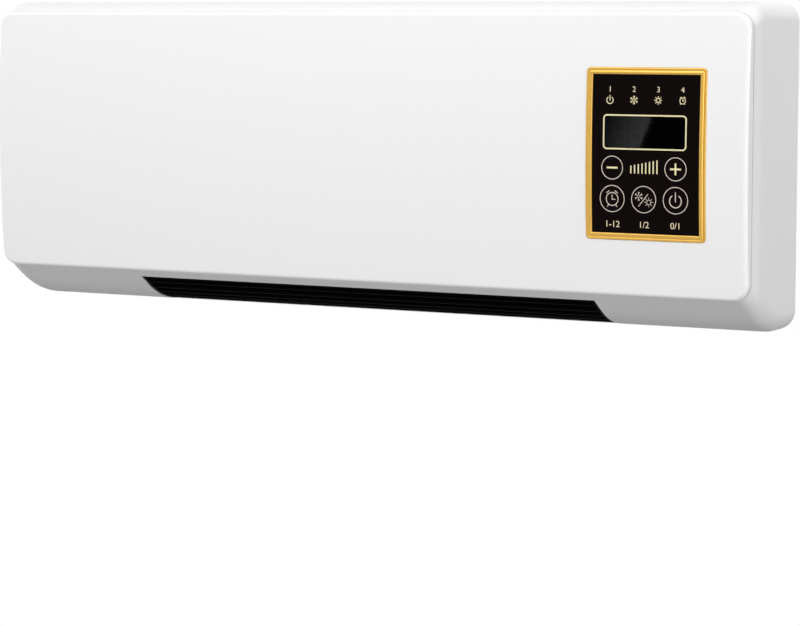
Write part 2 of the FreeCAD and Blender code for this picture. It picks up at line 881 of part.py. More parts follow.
def buzzer():
    """A round sounder on the back of the control board."""
    x = control_x + buzzer_shift_x
    z = control_z - control_board_height / 2 + buzzer_rise
    back = control_board_y + board_thickness
    body = rod_y(buzzer_radius, back, back + buzzer_height, x, z)
    return body.cut(rod_y(buzzer_hole_radius, back + buzzer_height / 2, back + buzzer_height + overrun, x, z))


def blade_edges(angle):
    """One blade's section: two arcs that sweep from the inner to the outer radius, and its two ends."""
    middle_radius = (blade_inner_radius + wheel_radius) / 2
    sides = []
    for offset in (0.0, blade_thickness / middle_radius):
        stops = (
            (blade_inner_radius, angle + blade_sweep + offset),
            (middle_radius, angle + blade_sweep / 2 - blade_bulge + offset),
            (wheel_radius, angle + offset),
        )
        sides.append([vector(0, fan_y + r * math.cos(a), fan_z + r * math.sin(a)) for r, a in stops])
    edges = [Part.Arc(*side).toShape() for side in sides]
    for stop in (0, 2):
        edges.append(Part.LineSegment(sides[0][stop], sides[1][stop]).toShape())
    return edges


def fan_wheel():
    """The cross-flow wheel: curved blades between end discs, with rings round them and a hub at each end."""
    body = rod_x(wheel_radius, -wheel_half, -wheel_half + wheel_disc, fan_y, fan_z)
    pieces = [rod_x(wheel_radius, wheel_half - wheel_disc, wheel_half, fan_y, fan_z)]
    for side in (-1, 1):
        near, far = sorted((side * wheel_half, side * (wheel_half - hub_length)))
        pieces.append(rod_x(hub_radius, near, far, fan_y, fan_z))
    for number in range(wheel_ring_count):
        x = wheel_half * (2 * (number + 1) / (wheel_ring_count + 1) - 1)
        near = x - wheel_ring / 2
        far = x + wheel_ring / 2
        ring = rod_x(wheel_radius, near, far, fan_y, fan_z)
        hole = rod_x(wheel_radius - wheel_ring_depth, near - overrun, far + overrun, fan_y, fan_z)
        pieces.append(ring.cut(hole))
    for number in range(blade_count):
        edges = blade_edges(2 * math.pi * number / blade_count)
        pieces.append(drawn_along_x(edges, -wheel_half + wheel_disc / 2, wheel_half - wheel_disc / 2))
    bores = []
    for side, radius in ((-1, shaft_radius), (1, pivot_radius)):
        near, far = sorted((side * (wheel_half + overrun), side * (wheel_half - hub_length - overrun)))
        bores.append(rod_x(radius + slip_fit, near, far, fan_y, fan_z))
    return body.fuse(pieces).cut(bores)


def pivot_pin():
    """The pin in the wheel's right hub, carried by the end bearing."""
    far = duct_inner_x + bearing_length + pivot_tail
    return rod_x(pivot_radius, wheel_half - hub_length, far, fan_y, fan_z)


def end_bearing():
    """The plain bearing of the wheel's right end."""
    outline = [
        (duct_inner_x, pivot_radius + running_fit),
        (duct_inner_x + bearing_length, pivot_radius + running_fit),
        (duct_inner_x + bearing_length, bearing_radius),
        (duct_inner_x, bearing_radius),
    ]
    return turned(outline, fan_y, fan_z)


def bearing_mount():
    """The rubber ring that holds the end bearing in the right end plate."""
    bore = bearing_radius + slip_fit
    neck = mount_neck_radius - slip_fit
    near = duct_inner_x - slip_fit
    far = duct_outer_x + slip_fit
    outline = [
        (near - mount_flange, bore),
        (far + mount_flange, bore),
        (far + mount_flange, mount_flange_radius),
        (far, mount_flange_radius),
        (far, neck),
        (near, neck),
        (near, mount_flange_radius),
        (near - mount_flange, mount_flange_radius),
    ]
    return turned(outline, fan_y, fan_z)


def duct_end(side):
    """An end plate of the duct with two feet on the back wall, and a hole round the fan's axis."""
    near, far = sorted((side * duct_inner_x, side * duct_outer_x))
    outline = [
        (duct_back_y, duct_top_z),
        (duct_front_y, duct_top_z),
        (duct_front_y, duct_front_z),
        (duct_back_y, duct_rear_z),
    ]
    plate = drawn_along_x(polygon_edges(outline), near, far)
    hole = mount_neck_radius if side > 0 else motor_opening_radius
    cuts = [rod_x(hole, near - overrun, far + overrun, fan_y, fan_z)]
    feet = []
    for x, z in duct_foot_places():
        if x * side > 0:
            left, right = sorted((side * duct_inner_x, side * (duct_outer_x + duct_foot)))
            low = z - duct_foot_height / 2
            high = low + duct_foot_height
            feet.append(block(left, right, duct_back_y - duct_plate, duct_back_y, low, high))
            radius = duct_screw_radius + cover_screw_clearance
            cuts.append(rod_y(radius, duct_back_y - duct_plate - overrun, duct_back_y + overrun, x, z))
    if side < 0:
        for y, z in motor_screw_places():
            cuts.append(rod_x(motor_screw_radius + slip_fit, near - overrun, far + overrun, y, z))
    return plate.fuse(feet).cut(cuts)


def duct_screws():
    """The screws through the duct's feet."""
    seat = duct_back_y - duct_plate
    length = -duct_screw_skin - seat
    solids = []
    for x, z in duct_foot_places():
        body = screw(duct_screw_head_radius, duct_screw_head_height, duct_screw_radius, length)
        solids.append(set_along(body, vector(0, 1, 0), vector(x, seat, z)))
    return Part.makeCompound(solids)


def scroll_edges(offset):
    """The scroll's outline: an arc behind the wheel, a straight wall down, and a tail that turns forward."""
    radius = scroll_radius + offset
    tail_radius = scroll_tail_radius + offset
    tail_y = scroll_rear_y - scroll_tail_radius
    tail_z = duct_front_z - scroll_tail_radius / 2

    def on_arc(angle):
        y = scroll_centre_y + radius * math.cos(angle)
        return vector(0, y, scroll_centre_z + radius * math.sin(angle))

    def on_tail(angle):
        return vector(0, tail_y + tail_radius * math.cos(angle), tail_z - tail_radius * math.sin(angle))

    return [
        Part.Arc(on_arc(scroll_start), on_arc(scroll_start / 2), on_arc(0.0)).toShape(),
        Part.LineSegment(on_arc(0.0), on_tail(0.0)).toShape(),
        Part.Arc(on_tail(0.0), on_tail(scroll_tail_angle / 2), on_tail(scroll_tail_angle)).toShape(),
    ]


def fan_scroll():
    """The curved guide behind the wheel, from end plate to end plate."""
    inner = scroll_edges(0.0)
    outer = scroll_edges(scroll_thickness)
    caps = []
    for edge, end in ((0, 0), (2, -1)):
        ends = [edges[edge].Vertexes[end].Point for edges in (inner, outer)]
        caps.append(Part.LineSegment(*ends).toShape())
    return drawn_along_x(inner + outer + caps, -duct_inner_x, duct_inner_x)


def fan_tongue():
    """The front guide: a lip close to the wheel, a shelf towards the cover and a wall down to the outlet."""
    front = tongue_y - tongue_thickness
    shelf = rim_y + tongue_shelf_gap
    top = tongue_top_z - tongue_thickness
    bottom = duct_front_z
    outline = [
        (tongue_y, bottom),
        (tongue_y, top),
        (front + tongue_thickness / 2, tongue_top_z),
        (shelf, tongue_top_z),
        (shelf, top),
        (front, top),
        (front, bottom),
    ]
    return drawn_along_x(polygon_edges(outline), -duct_inner_x, duct_inner_x)


def motor_screw_places():
    """Where the motor's long screws run, as (y, z)."""
    return [(fan_y - motor_screw_span, fan_z), (fan_y + motor_screw_span, fan_z)]


def motor_stator():
    """The laminated stack: a bore for the rotor with shading slots, and a window for the coil's leg."""
    y0 = fan_y - stator_width / 2
    heights = (fan_z - stator_below, fan_z + stator_above)
    stack = block(stack_far_x, stack_near_x, y0, y0 + stator_width, *heights)
    low = stack_far_x - overrun
    high = stack_near_x + overrun
    top = fan_z - stator_window_top
    half = stator_window_width / 2
    cuts = [rod_x(rotor_radius + air_gap, low, high, fan_y, fan_z)]
    cuts.append(block(low, high, fan_y - half, fan_y + half, top - stator_window_height, top))
    slot = stator_slot_width / 2
    cuts.append(block(low, high, fan_y - slot, fan_y + slot, top - overrun, fan_z))
    for y, z in motor_screw_places():
        cuts.append(rod_x(motor_screw_radius + motor_screw_clearance, low, high, y, z))
    body = stack.cut(cuts)
    edges = [edge for edge in body.Edges if is_stack_corner(edge)]
    return body.makeFillet(stator_slot_width, edges)


def is_stack_corner(edge):
    """Whether an edge is one of the stack's four outer corners along X."""
    middle = edge.CenterOfMass
    at_side = abs(abs(middle.y - fan_y) - stator_width / 2) < slip_fit
    at_end = min(abs(middle.z - fan_z - stator_above), abs(middle.z - fan_z + stator_below)) < slip_fit
    return at_side and at_end and abs(edge.Length - stack_length) < slip_fit


def motor_coil():
    """The winding round the stack's lower leg."""
    leg_top = fan_z - stator_window_top - stator_window_height
    leg_bottom = fan_z - stator_below
    half = stator_window_width / 2 - coil_clearance
    far = stack_far_x - coil_overhang
    near = stack_near_x + coil_overhang
    outer = block(far, near, fan_y - half, fan_y + half, leg_bottom - coil_height, leg_top + coil_height)
    corners = [edge for edge in outer.Edges if abs(edge.Length - 2 * half) < slip_fit]
    outer = outer.makeFillet(coil_height / 2, corners)
    gap = slip_fit
    return outer.cut(block(stack_far_x - gap, stack_near_x + gap, fan_y - half - gap, fan_y + half + gap,
                           leg_bottom - gap, leg_top + gap))


def motor_rotor():
    """The rotor in the stack's bore."""
    far = stack_far_x + rotor_end_gap
    near = stack_near_x - rotor_end_gap
    body = rod_x(rotor_radius, far, near, fan_y, fan_z)
    return body.cut(rod_x(shaft_radius + slip_fit, far - overrun, near + overrun, fan_y, fan_z))


def motor_shaft():
    """The shaft from the rear bearing through the rotor to the wheel's left hub."""
    far = stack_far_x - bracket_thickness - bracket_hub_length - shaft_tail
    return rod_x(shaft_radius, far, -wheel_half + hub_length, fan_y, fan_z)


def bracket_span(side):
    """A bracket's inner face on the stack and the direction that it faces, as (x, direction)."""
    return (stack_near_x, 1) if side > 0 else (stack_far_x, -1)


def motor_bracket(side):
    """A bearing bracket: a strap across the stack with a domed hub for the bearing."""
    face, way = bracket_span(side)
    plate = face + way * bracket_thickness
    end = plate + way * bracket_hub_length
    near, far = sorted((face, plate))
    half = stator_width / 2
    up = bracket_height / 2
    strap = block(near, far, fan_y - half, fan_y + half, fan_z - up, fan_z + up)
    outline = [
        (face, 0.0),
        (end, 0.0),
        (end, bracket_tip_radius),
        (plate, bracket_hub_radius),
        (face, bracket_hub_radius),
    ]
    hub = turned(outline, fan_y, fan_z)
    seat = end - way * motor_bearing_setback
    bore = sorted((face - way * overrun, seat))
    cuts = [rod_x(motor_bearing_radius + slip_fit, *bore, fan_y, fan_z)]
    opening = sorted((face - way * overrun, end + way * overrun))
    cuts.append(rod_x(shaft_radius + rotor_end_gap, *opening, fan_y, fan_z))
    for y, z in motor_screw_places():
        cuts.append(rod_x(motor_screw_radius + motor_screw_clearance, near - overrun, far + overrun, y, z))
    return strap.fuse(hub).cut(cuts)


def motor_bearings():
    """The motor's two plain bearings, one in each bracket."""
    solids = []
    for side in (-1, 1):
        face, way = bracket_span(side)
        end = face + way * (bracket_thickness + bracket_hub_length - motor_bearing_setback - slip_fit)
        start = end - way * motor_bearing_length
        near, far = sorted((start, end))
        body = rod_x(motor_bearing_radius, near, far, fan_y, fan_z)
        bore = rod_x(shaft_radius + running_fit, near - overrun, far + overrun, fan_y, fan_z)
        solids.append(body.cut(bore))
    return Part.makeCompound(solids)


def motor_spacers():
    """The tubes between the front bracket and the left end plate."""
    near = stack_near_x + bracket_thickness
    solids = []
    for y, z in motor_screw_places():
        tube = rod_x(spacer_radius, near, -duct_outer_x, y, z)
        span = (near - overrun, overrun - duct_outer_x)
        solids.append(tube.cut(rod_x(motor_screw_radius + motor_screw_clearance, *span, y, z)))
    return Part.makeCompound(solids)


def motor_screws():
    """The long screws through brackets, stack and spacers into the left end plate."""
    seat = stack_far_x - bracket_thickness
    length = -duct_inner_x - seat
    solids = []
    for y, z in motor_screw_places():
        body = screw(motor_screw_head_radius, motor_screw_head_height, motor_screw_radius, length)
        solids.append(set_along(body, vector(1, 0, 0), vector(seat, y, z)))
    return Part.makeCompound(solids)


def tube_places():
    """The middle of each tube of the heating element, along Y."""
    first = element_mid_y - element_width / 2 + fin_depth + tube_thickness / 2
    return [first + number * (fin_depth + tube_thickness) for number in range(element_tube_count)]


def element_tubes():
    """The flat aluminium tubes that hold the ceramic tiles."""
    solids = []
    half = element_half + holder_pocket
    for y in tube_places():
        outer = [y - tube_thickness / 2, y + tube_thickness / 2]
        inner = [outer[0] + tube_wall, outer[1] - tube_wall]
        low = element_mid_z - element_height / 2
        high = element_mid_z + element_height / 2
        tube = block(-half, half, *outer, low, high)
        bore = block(-half - overrun, half + overrun, *inner, low + tube_wall, high - tube_wall)
        solids.append(tube.cut(bore))
    return Part.makeCompound(solids)


def ceramic_tiles():
    """The rows of heating tiles inside the tubes."""
    solids = []
    step = 2 * element_half / tile_count
    half_thickness = tube_thickness / 2 - tube_wall - tile_clearance
    half_height = element_height / 2 - tube_wall - tile_clearance
    for y in tube_places():
        for number in range(tile_count):
            x = -element_half + step * number + tile_gap / 2
            solids.append(block(x, x + step - tile_gap, y - half_thickness, y + half_thickness,
                                element_mid_z - half_height, element_mid_z + half_height))
    return Part.makeCompound(solids)


def folded_fin(y0, y1):
    """A folded strip between two tubes: a zigzag outline drawn out along the air flow."""
    folds = int(2 * (element_half - fin_pitch) / fin_pitch)
    half_step = fin_pitch / 2
    start = -folds * half_step
    low = y0 + slip_fit
    high = y1 - slip_fit - fin_thickness
    front = []
    for fold in range(2 * folds + 1):
        front.append((start + fold * half_step, low if fold % 2 else high))
    back = [(x, y + fin_thickness) for x, y in reversed(front)]
    bottom = element_mid_z - element_height / 2
    corners = [vector(x, y, bottom) for x, y in front + back]
    face = Part.Face(Part.makePolygon(corners + corners[:1]))
    return face.extrude(vector(0, 0, element_height))


def element_fins():
    """The folded fins in front of, between and behind the tubes."""
    first = element_mid_y - element_width / 2
    step = fin_depth + tube_thickness
    rows = range(element_tube_count + 1)
    return Part.makeCompound([folded_fin(first + row * step, first + row * step + fin_depth) for row in rows])


def element_holder(side):
    """The heat-proof holder of one end: a block on the end plate with a pocket for each tube."""
    near, far = sorted((side * element_half, side * duct_inner_x))
    across = element_width / 2 + holder_margin
    up = element_height / 2 + holder_rim
    sides = (element_mid_y - across, element_mid_y + across)
    body = block(near, far, *sides, element_mid_z - up, element_mid_z + up)
    corners = [edge for edge in body.Edges if abs(edge.Length - holder_length) < slip_fit]
    body = body.makeChamfer(holder_rim, corners)
    pocket = sorted((side * (element_half - overrun), side * (element_half + holder_pocket + holder_fit)))
    cuts = []
    for y in tube_places():
        half = tube_thickness / 2 + holder_fit
        rise = element_height / 2 + holder_fit
        cuts.append(block(*pocket, y - half, y + half, element_mid_z - rise, element_mid_z + rise))
    return body.cut(cuts)


def element_terminals():
    """The tab terminals that rise from the holders' tops."""
    solids = []
    top = element_mid_z + element_height / 2 + holder_rim
    middle = element_half + holder_length / 2
    for side in (-1, 1):
        for y in tube_places():
            x = side * middle
            half = terminal_thickness / 2
            sides = (y - terminal_width / 2, y + terminal_width / 2)
            tab = block(x - half, x + half, *sides, top, top + terminal_length)
            z = top + terminal_length - terminal_width / 2
            hole = rod_x(terminal_thickness, x - overrun, x + overrun, y, z)
            solids.append(tab.cut(hole))
    return Part.makeCompound(solids)


def thermal_cutout():
    """The bimetal cut-out on the tongue's front: a round body with a smaller cap."""
    seat = tongue_y - tongue_thickness
    z = fan_z - cutout_drop
    step = seat - cutout_height
    body = rod_y(cutout_radius, step, seat, 0, z)
    return body.fuse(rod_y(cutout_cap_radius, step - cutout_cap_height, step, 0, z))


def thermal_fuse():
    """The thermal fuse beside the cut-out: a small barrel with two leads on a flat foot."""
    seat = tongue_y - tongue_thickness
    y = seat - fuse_foot - fuse_radius
    z = fan_z - cutout_drop
    start = fuse_shift_x
    end = start + fuse_length
    barrel = rod_x(fuse_radius, start, end, y, z)
    leads = rod_x(fuse_lead_radius, start - fuse_lead_length, end + fuse_lead_length, y, z)
    foot = block(start, end, y, seat, z - fuse_radius, z + fuse_radius)
    return barrel.fuse([leads, foot])


def power_board():
    """The board behind the control panel's right side, on posts from the back wall."""
    size = (power_board_width, power_board_height)
    return board(power_board_x, power_board_z, *size, power_board_y, power_post_places())


def on_power_board(across, up, width, height, depth):
    """A block on the power board's face, placed from the board's middle."""
    x = power_board_x + across
    z = power_board_z + up
    sides = (x - width / 2, x + width / 2)
    return block(*sides, power_board_y - depth, power_board_y, z - height / 2, z + height / 2)


def relays():
    """The two relays that switch the heating element."""
    solids = []
    for number in (0, 1):
        across = relay_shift_x + number * relay_pitch
        case = on_power_board(across, relay_shift_z, relay_width, relay_height, relay_depth)
        edges = [edge for edge in case.Edges if abs(edge.Length - relay_depth) < slip_fit]
        solids.append(case.makeFillet(relay_corner_radius, edges))
    return Part.makeCompound(solids)


def filter_capacitor():
    """The mains filter capacitor."""
    size = (capacitor_width, capacitor_height, capacitor_depth)
    case = on_power_board(capacitor_shift_x, capacitor_shift_z, *size)
    edges = [edge for edge in case.Edges if abs(edge.Length - capacitor_depth) < slip_fit]
    return case.makeFillet(relay_corner_radius, edges)


def transformer():
    """The supply transformer: a framed core round a lower winding."""
    place = (transformer_shift_x, transformer_shift_z)
    depth = transformer_depth * transformer_coil_share
    winding = on_power_board(*place, transformer_width, transformer_height, depth)
    core = on_power_board(*place, transformer_core, transformer_height, transformer_depth)
    return winding.fuse(core).removeSplitter()


def terminal_block():
    """The mains terminal block with a sunk screw in each way."""
    size = (terminal_block_width, terminal_block_height, terminal_block_depth)
    body = on_power_board(terminal_block_shift_x, terminal_block_shift_z, *size)
    step = terminal_block_width / terminal_block_way_count
    front = power_board_y - terminal_block_depth
    cuts = []
    for number in range(terminal_block_way_count):
        x = power_board_x + terminal_block_shift_x - terminal_block_width / 2 + step * (number + 0.5)
        z = power_board_z + terminal_block_shift_z
        sunk = front + terminal_block_screw_sink
        cuts.append(rod_y(terminal_block_screw_radius, front - overrun, sunk, x, z))
    return body.cut(cuts)


def cord_gland():
    """The gland in the left wall: a flange outside, a nut inside and a bore for the cord."""
    outside = -side_x - gland_seat
    inside = -side_x + case_wall + gland_seat
    y = -gland_depth
    end = inside + gland_nut + gland_tail
    outline = [
        (outside - gland_flange, gland_bore_radius),
        (end, gland_bore_radius),
        (end, gland_body_radius),
        (inside + gland_nut, gland_body_radius),
        (inside + gland_nut, gland_nut_radius),
        (inside, gland_nut_radius),
        (inside, gland_body_radius),
        (outside, gland_body_radius),
        (outside, gland_flange_radius),
        (outside - gland_flange, gland_flange_radius),
    ]
    return turned(outline, y, gland_z)


def cover_screws():
    """The screws from the back that hold the front cover."""
    solids = []
    for x, z in tunnel_places():
        body = screw(cover_screw_head_radius, cover_screw_head_height, cover_screw_radius, cover_screw_length)
        solids.append(set_along(body, vector(0, -1, 0), vector(x, -tunnel_depth, z)))
    return Part.makeCompound(solids)


def control_board_screws():
    """The screws that hold the control board on its posts."""
    return board_screws(control_post_places(), control_board_y + board_thickness, -1)


def power_board_screws():
    """The screws that hold the power board on its posts."""
    return board_screws(power_post_places(), power_board_y, 1)


def build_all():
    """Every piece by its name."""
    pieces = {
        "rear_housing": rear_housing(),
        "front_cover": front_cover(),
        "outlet_grille": outlet_grille(),
        "control_frame": control_frame(),
        "control_fascia": control_fascia(),
        "display_window": display_window(),
        "indicator_lenses": indicator_lenses(),
        "control_board": control_board(),
        "control_board_screws": control_board_screws(),
        "key_switches": key_switches(),
        "display_module": display_module(),
        "indicator_leds": indicator_leds(),
        "infrared_receiver": infrared_receiver(),
        "buzzer": buzzer(),
        "fan_wheel": fan_wheel(),
        "pivot_pin": pivot_pin(),
        "end_bearing": end_bearing(),
        "bearing_mount": bearing_mount(),
        "duct_end_left": duct_end(-1),
        "duct_end_right": duct_end(1),
        "duct_screws": duct_screws(),
        "fan_scroll": fan_scroll(),
        "fan_tongue": fan_tongue(),
        "motor_stator": motor_stator(),
        "motor_coil": motor_coil(),
        "motor_rotor": motor_rotor(),
        "motor_shaft": motor_shaft(),
        "motor_bracket_front": motor_bracket(1),
        "motor_bracket_rear": motor_bracket(-1),
        "motor_bearings": motor_bearings(),
        "motor_spacers": motor_spacers(),
        "motor_screws": motor_screws(),
        "element_tubes": element_tubes(),
        "ceramic_tiles": ceramic_tiles(),
        "element_fins": element_fins(),
        "element_holder_left": element_holder(-1),
        "element_holder_right": element_holder(1),
        "element_terminals": element_terminals(),
        "thermal_cutout": thermal_cutout(),
        "thermal_fuse": thermal_fuse(),
        "power_board": power_board(),
        "power_board_screws": power_board_screws(),
        "relays": relays(),
        "filter_capacitor": filter_capacitor(),
        "transformer": transformer(),
        "terminal_block": terminal_block(),
        "cord_gland": cord_gland(),
        "cover_screws": cover_screws(),
    }
    for name in key_places:
        pieces[name] = key(name)
    return pieces


os.makedirs("parts", exist_ok=True)
for name, shape in build_all().items():
    shape.exportStep("parts/" + name + ".step")
    print(name, shape.isValid(), len(shape.Solids), round(shape.Volume, 1))
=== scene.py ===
"""Looks of a slim wall-hung ceramic fan heater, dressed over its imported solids."""
import json
import logging
import math
from dataclasses import dataclass, field
from enum import Enum
from typing import Any, Sequence

import bmesh
import bpy
from bmesh.types import BMesh, BMVert
from bpy.types import ID, Material, Mesh, Node, NodeSocket, NodeTree, Object
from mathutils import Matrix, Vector

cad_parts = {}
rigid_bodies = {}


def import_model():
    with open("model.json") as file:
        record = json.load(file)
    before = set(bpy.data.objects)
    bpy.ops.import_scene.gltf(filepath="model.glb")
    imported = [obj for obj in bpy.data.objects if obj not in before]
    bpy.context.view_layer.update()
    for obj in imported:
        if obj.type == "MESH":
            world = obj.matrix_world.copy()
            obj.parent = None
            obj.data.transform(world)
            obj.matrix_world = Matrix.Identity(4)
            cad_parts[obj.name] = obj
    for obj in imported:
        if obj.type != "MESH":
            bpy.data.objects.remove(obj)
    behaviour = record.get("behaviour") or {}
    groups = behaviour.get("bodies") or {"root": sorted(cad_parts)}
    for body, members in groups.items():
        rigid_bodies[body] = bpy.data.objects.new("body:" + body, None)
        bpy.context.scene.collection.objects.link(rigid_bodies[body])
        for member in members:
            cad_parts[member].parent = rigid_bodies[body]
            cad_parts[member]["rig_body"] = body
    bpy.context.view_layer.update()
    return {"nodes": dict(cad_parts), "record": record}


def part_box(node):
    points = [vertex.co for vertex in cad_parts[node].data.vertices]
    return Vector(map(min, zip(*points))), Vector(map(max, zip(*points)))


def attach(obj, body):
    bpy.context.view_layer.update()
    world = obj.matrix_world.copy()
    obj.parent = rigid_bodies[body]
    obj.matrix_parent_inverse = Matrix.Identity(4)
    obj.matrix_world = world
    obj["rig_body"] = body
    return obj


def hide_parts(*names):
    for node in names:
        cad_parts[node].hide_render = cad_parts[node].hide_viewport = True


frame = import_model()

LOG = logging.getLogger("wall_heater")
MM = 0.001
CASING = "casing"
WHITE = "#ffffff"
SLOT_OF_NODE = {row["node"]: row["material_slot"] for row in frame["record"]["subparts"]}
Point = tuple[float, float]
Place = tuple[float, float, float]
Stroke = tuple[list[Point], float, bool]
Values = dict[str | int, Any]

# Edges flatter than these angles, in degrees, are shaded smooth
SKIN_ANGLE, GRILLE_ANGLE, FRAME_ANGLE, PRINT_ANGLE, DIGIT_ANGLE = 28.0, 40.0, 50.0, 30.0, 20.0
# Points of a mesh closer than these lengths, in millimetres, become one
BUILT_WELD, SKIN_WELD = 0.002, 0.0005
# A rectangle's corners in order: right or left, top or bottom, and the angle at which each one's arc starts
CORNERS = ((1, 1, 0), (-1, 1, 90), (-1, -1, 180), (1, -1, 270))
CORNER_STEPS, RING_STEPS = 8, 48
# The sockets of a Mix node that serve its colours
MIX_FACTOR, MIX_FIRST, MIX_SECOND, MIX_RESULT = 0, 6, 7, 2
LEAST_ROUGHNESS = 0.02
# The share of a pattern's scale that is left along drawn lines
DRAWN_STRETCH = 0.03
# The scale at which a wave texture has one band per metre, and how far its bands waver
BAND_SCALE, BAND_WAVER = math.pi / 10, 0.6
# A moulded grain's octaves and how they fade
GRAIN_OCTAVES, GRAIN_FADE = 3.0, 0.55


def linear(hex_colour: str) -> tuple[float, float, float, float]:
    """Turns an sRGB hex colour to linear.

    Args:
        hex_colour: the colour as #rrggbb.

    Returns:
        Red, green, blue and a full alpha.
    """
    channels = [int(hex_colour[start:start + 2], 16) / 255 for start in (1, 3, 5)]
    red, green, blue = [c / 12.92 if c <= 0.04045 else ((c + 0.055) / 1.055) ** 2.4 for c in channels]
    return red, green, blue, 1.0


def add_node(tree: NodeTree, kind: str, settings: Values | None = None, inputs: Values | None = None) -> Node:
    """Adds a node with its settings and links.

    Args:
        tree: the tree that takes the node.
        kind: the node's type name.
        settings: the node's own properties.
        inputs: for each input, a plain value or the output socket to link.

    Returns:
        The new node.
    """
    node = tree.nodes.new(kind)
    for name, value in (settings or {}).items():
        setattr(node, name, value)
    for name, value in (inputs or {}).items():
        if isinstance(value, NodeSocket):
            tree.links.new(value, node.inputs[name])
        else:
            node.inputs[name].default_value = value
    return node


def blank_tree(owner: ID) -> NodeTree:
    """Gives a material or a world a tree without nodes.

    Args:
        owner: the material or world.

    Returns:
        Its tree.
    """
    owner.use_nodes = True
    owner.node_tree.nodes.clear()
    return owner.node_tree


def put(name: str, data: ID) -> Object:
    """Makes an object and puts it in the scene.

    Args:
        name: the object's name.
        data: its mesh, curve, light or camera.

    Returns:
        The object.
    """
    made = bpy.data.objects.new(name, data)
    bpy.context.scene.collection.objects.link(made)
    return made


class Pattern(Enum):
    """How a surface's fine structure lies."""

    GRAIN = "even grain, as a mould or a cast leaves it"
    DRAWN = "lines along X, as drawing or brushing leaves them"
    LAYERS = "bands along X, as stacked sheets or a winding show"
    CELLS = "closed cells, as sintered grains show"


@dataclass(frozen=True)
class Finish:
    """A finish: its material's name, its colours and the scale of its surface."""

    name: str
    colour: str
    second_colour: str
    grain_mm: float
    roughness: float
    pattern: Pattern = Pattern.GRAIN
    colour_share: float = 0.5
    roughness_spread: float = 0.06
    relief_mm: float = 0.004
    metallic: float = 0.0
    ior: float = 1.5
    specular: float = 0.5
    coat: float = 0.0
    coat_roughness: float = 0.1
    sheen: float = 0.0

    def fine_structure(self, tree: NodeTree) -> NodeSocket:
        """Adds the texture that the finish's colour, roughness and relief follow.

        Args:
            tree: the material's tree.

        Returns:
            The texture's output, from 0 to 1.
        """
        place = add_node(tree, "ShaderNodeTexCoord").outputs["Object"]
        per_metre = 1 / (self.grain_mm * MM)
        if self.pattern is Pattern.DRAWN:
            stretch = {"Vector": place, "Scale": (DRAWN_STRETCH, 1.0, 1.0)}
            place = add_node(tree, "ShaderNodeMapping", None, stretch).outputs["Vector"]
        if self.pattern is Pattern.LAYERS:
            settings = {"wave_type": "BANDS", "bands_direction": "X"}
            bands = {"Vector": place, "Scale": per_metre * BAND_SCALE, "Distortion": BAND_WAVER}
            return add_node(tree, "ShaderNodeTexWave", settings, bands).outputs["Fac"]
        if self.pattern is Pattern.CELLS:
            cells = {"Vector": place, "Scale": per_metre}
            return add_node(tree, "ShaderNodeTexVoronoi", {"feature": "F1"}, cells).outputs["Distance"]
        grain = {"Vector": place, "Scale": per_metre, "Detail": GRAIN_OCTAVES, "Roughness": GRAIN_FADE}
        return add_node(tree, "ShaderNodeTexNoise", None, grain).outputs["Fac"]

    def make(self) -> Material:
        """Makes the material, or gives the one that was made before.

        Returns:
            The material.
        """
        known = bpy.data.materials.get(self.name)
        if known is not None:
            return known
        material = bpy.data.materials.new(self.name)
        tree = blank_tree(material)
        structure = self.fine_structure(tree)
        span = {"Value": structure, "To Max": self.colour_share}
        share = add_node(tree, "ShaderNodeMapRange", None, span).outputs["Result"]
        colours = {MIX_FACTOR: share, MIX_FIRST: linear(self.colour), MIX_SECOND: linear(self.second_colour)}
        blend = add_node(tree, "ShaderNodeMix", {"data_type": "RGBA"}, colours)
        levels = {
            "Value": structure,
            "To Min": max(self.roughness - self.roughness_spread, LEAST_ROUGHNESS),
            "To Max": min(self.roughness + self.roughness_spread, 1.0),
        }
        gloss = add_node(tree, "ShaderNodeMapRange", None, levels)
        relief = {"Height": structure, "Strength": 1.0, "Distance": self.relief_mm * MM}
        bump = add_node(tree, "ShaderNodeBump", None, relief)
        shader = add_node(tree, "ShaderNodeBsdfPrincipled", None, {
            "Base Color": blend.outputs[MIX_RESULT],
            "Roughness": gloss.outputs["Result"],
            "Normal": bump.outputs["Normal"],
            "Metallic": self.metallic,
            "IOR": self.ior,
            "Specular IOR Level": self.specular,
            "Coat Weight": self.coat,
            "Coat Roughness": self.coat_roughness,
            "Sheen Weight": self.sheen,
        })
        add_node(tree, "ShaderNodeOutputMaterial", None, {"Surface": shader.outputs["BSDF"]})
        return material


# Injection-moulded ABS from a polished mould: a white semi-gloss skin, faintly uneven, with soft highlights
COVER_WHITE = Finish("ABS_white_semi_gloss", "#f6f6f6", "#f0f0f0", 2.2, 0.32)
# Injection-moulded ABS from a spark-eroded mould: the same white, duller, with a fine even grain.
# The real grain is about 0.1 mm and is drawn coarser so that it shows
HOUSING_WHITE = Finish(
    "ABS_white_spark_grain", "#f5f5f5", "#ededed", 0.6, 0.48, relief_mm=0.012, specular=0.15,
)
# Moulded black polyamide with glass fibre, as heat-proof grilles are: deep black with a dull grain
GRILLE_BLACK = Finish(
    "Polyamide_black_moulded", "#030303", "#050505", 0.5, 0.6, relief_mm=0.01, specular=0.02,
)
# Metallised ABS under gold lacquer: a warm satin mirror with fine streaks from the polishing
GOLD_TRIM = Finish(
    "Gold_lacquer_on_metallised_ABS", "#dfb356", "#c9993d", 0.4, 0.34, Pattern.DRAWN, 0.6,
    relief_mm=0.002, metallic=0.85, coat=0.2, coat_roughness=0.15,
)
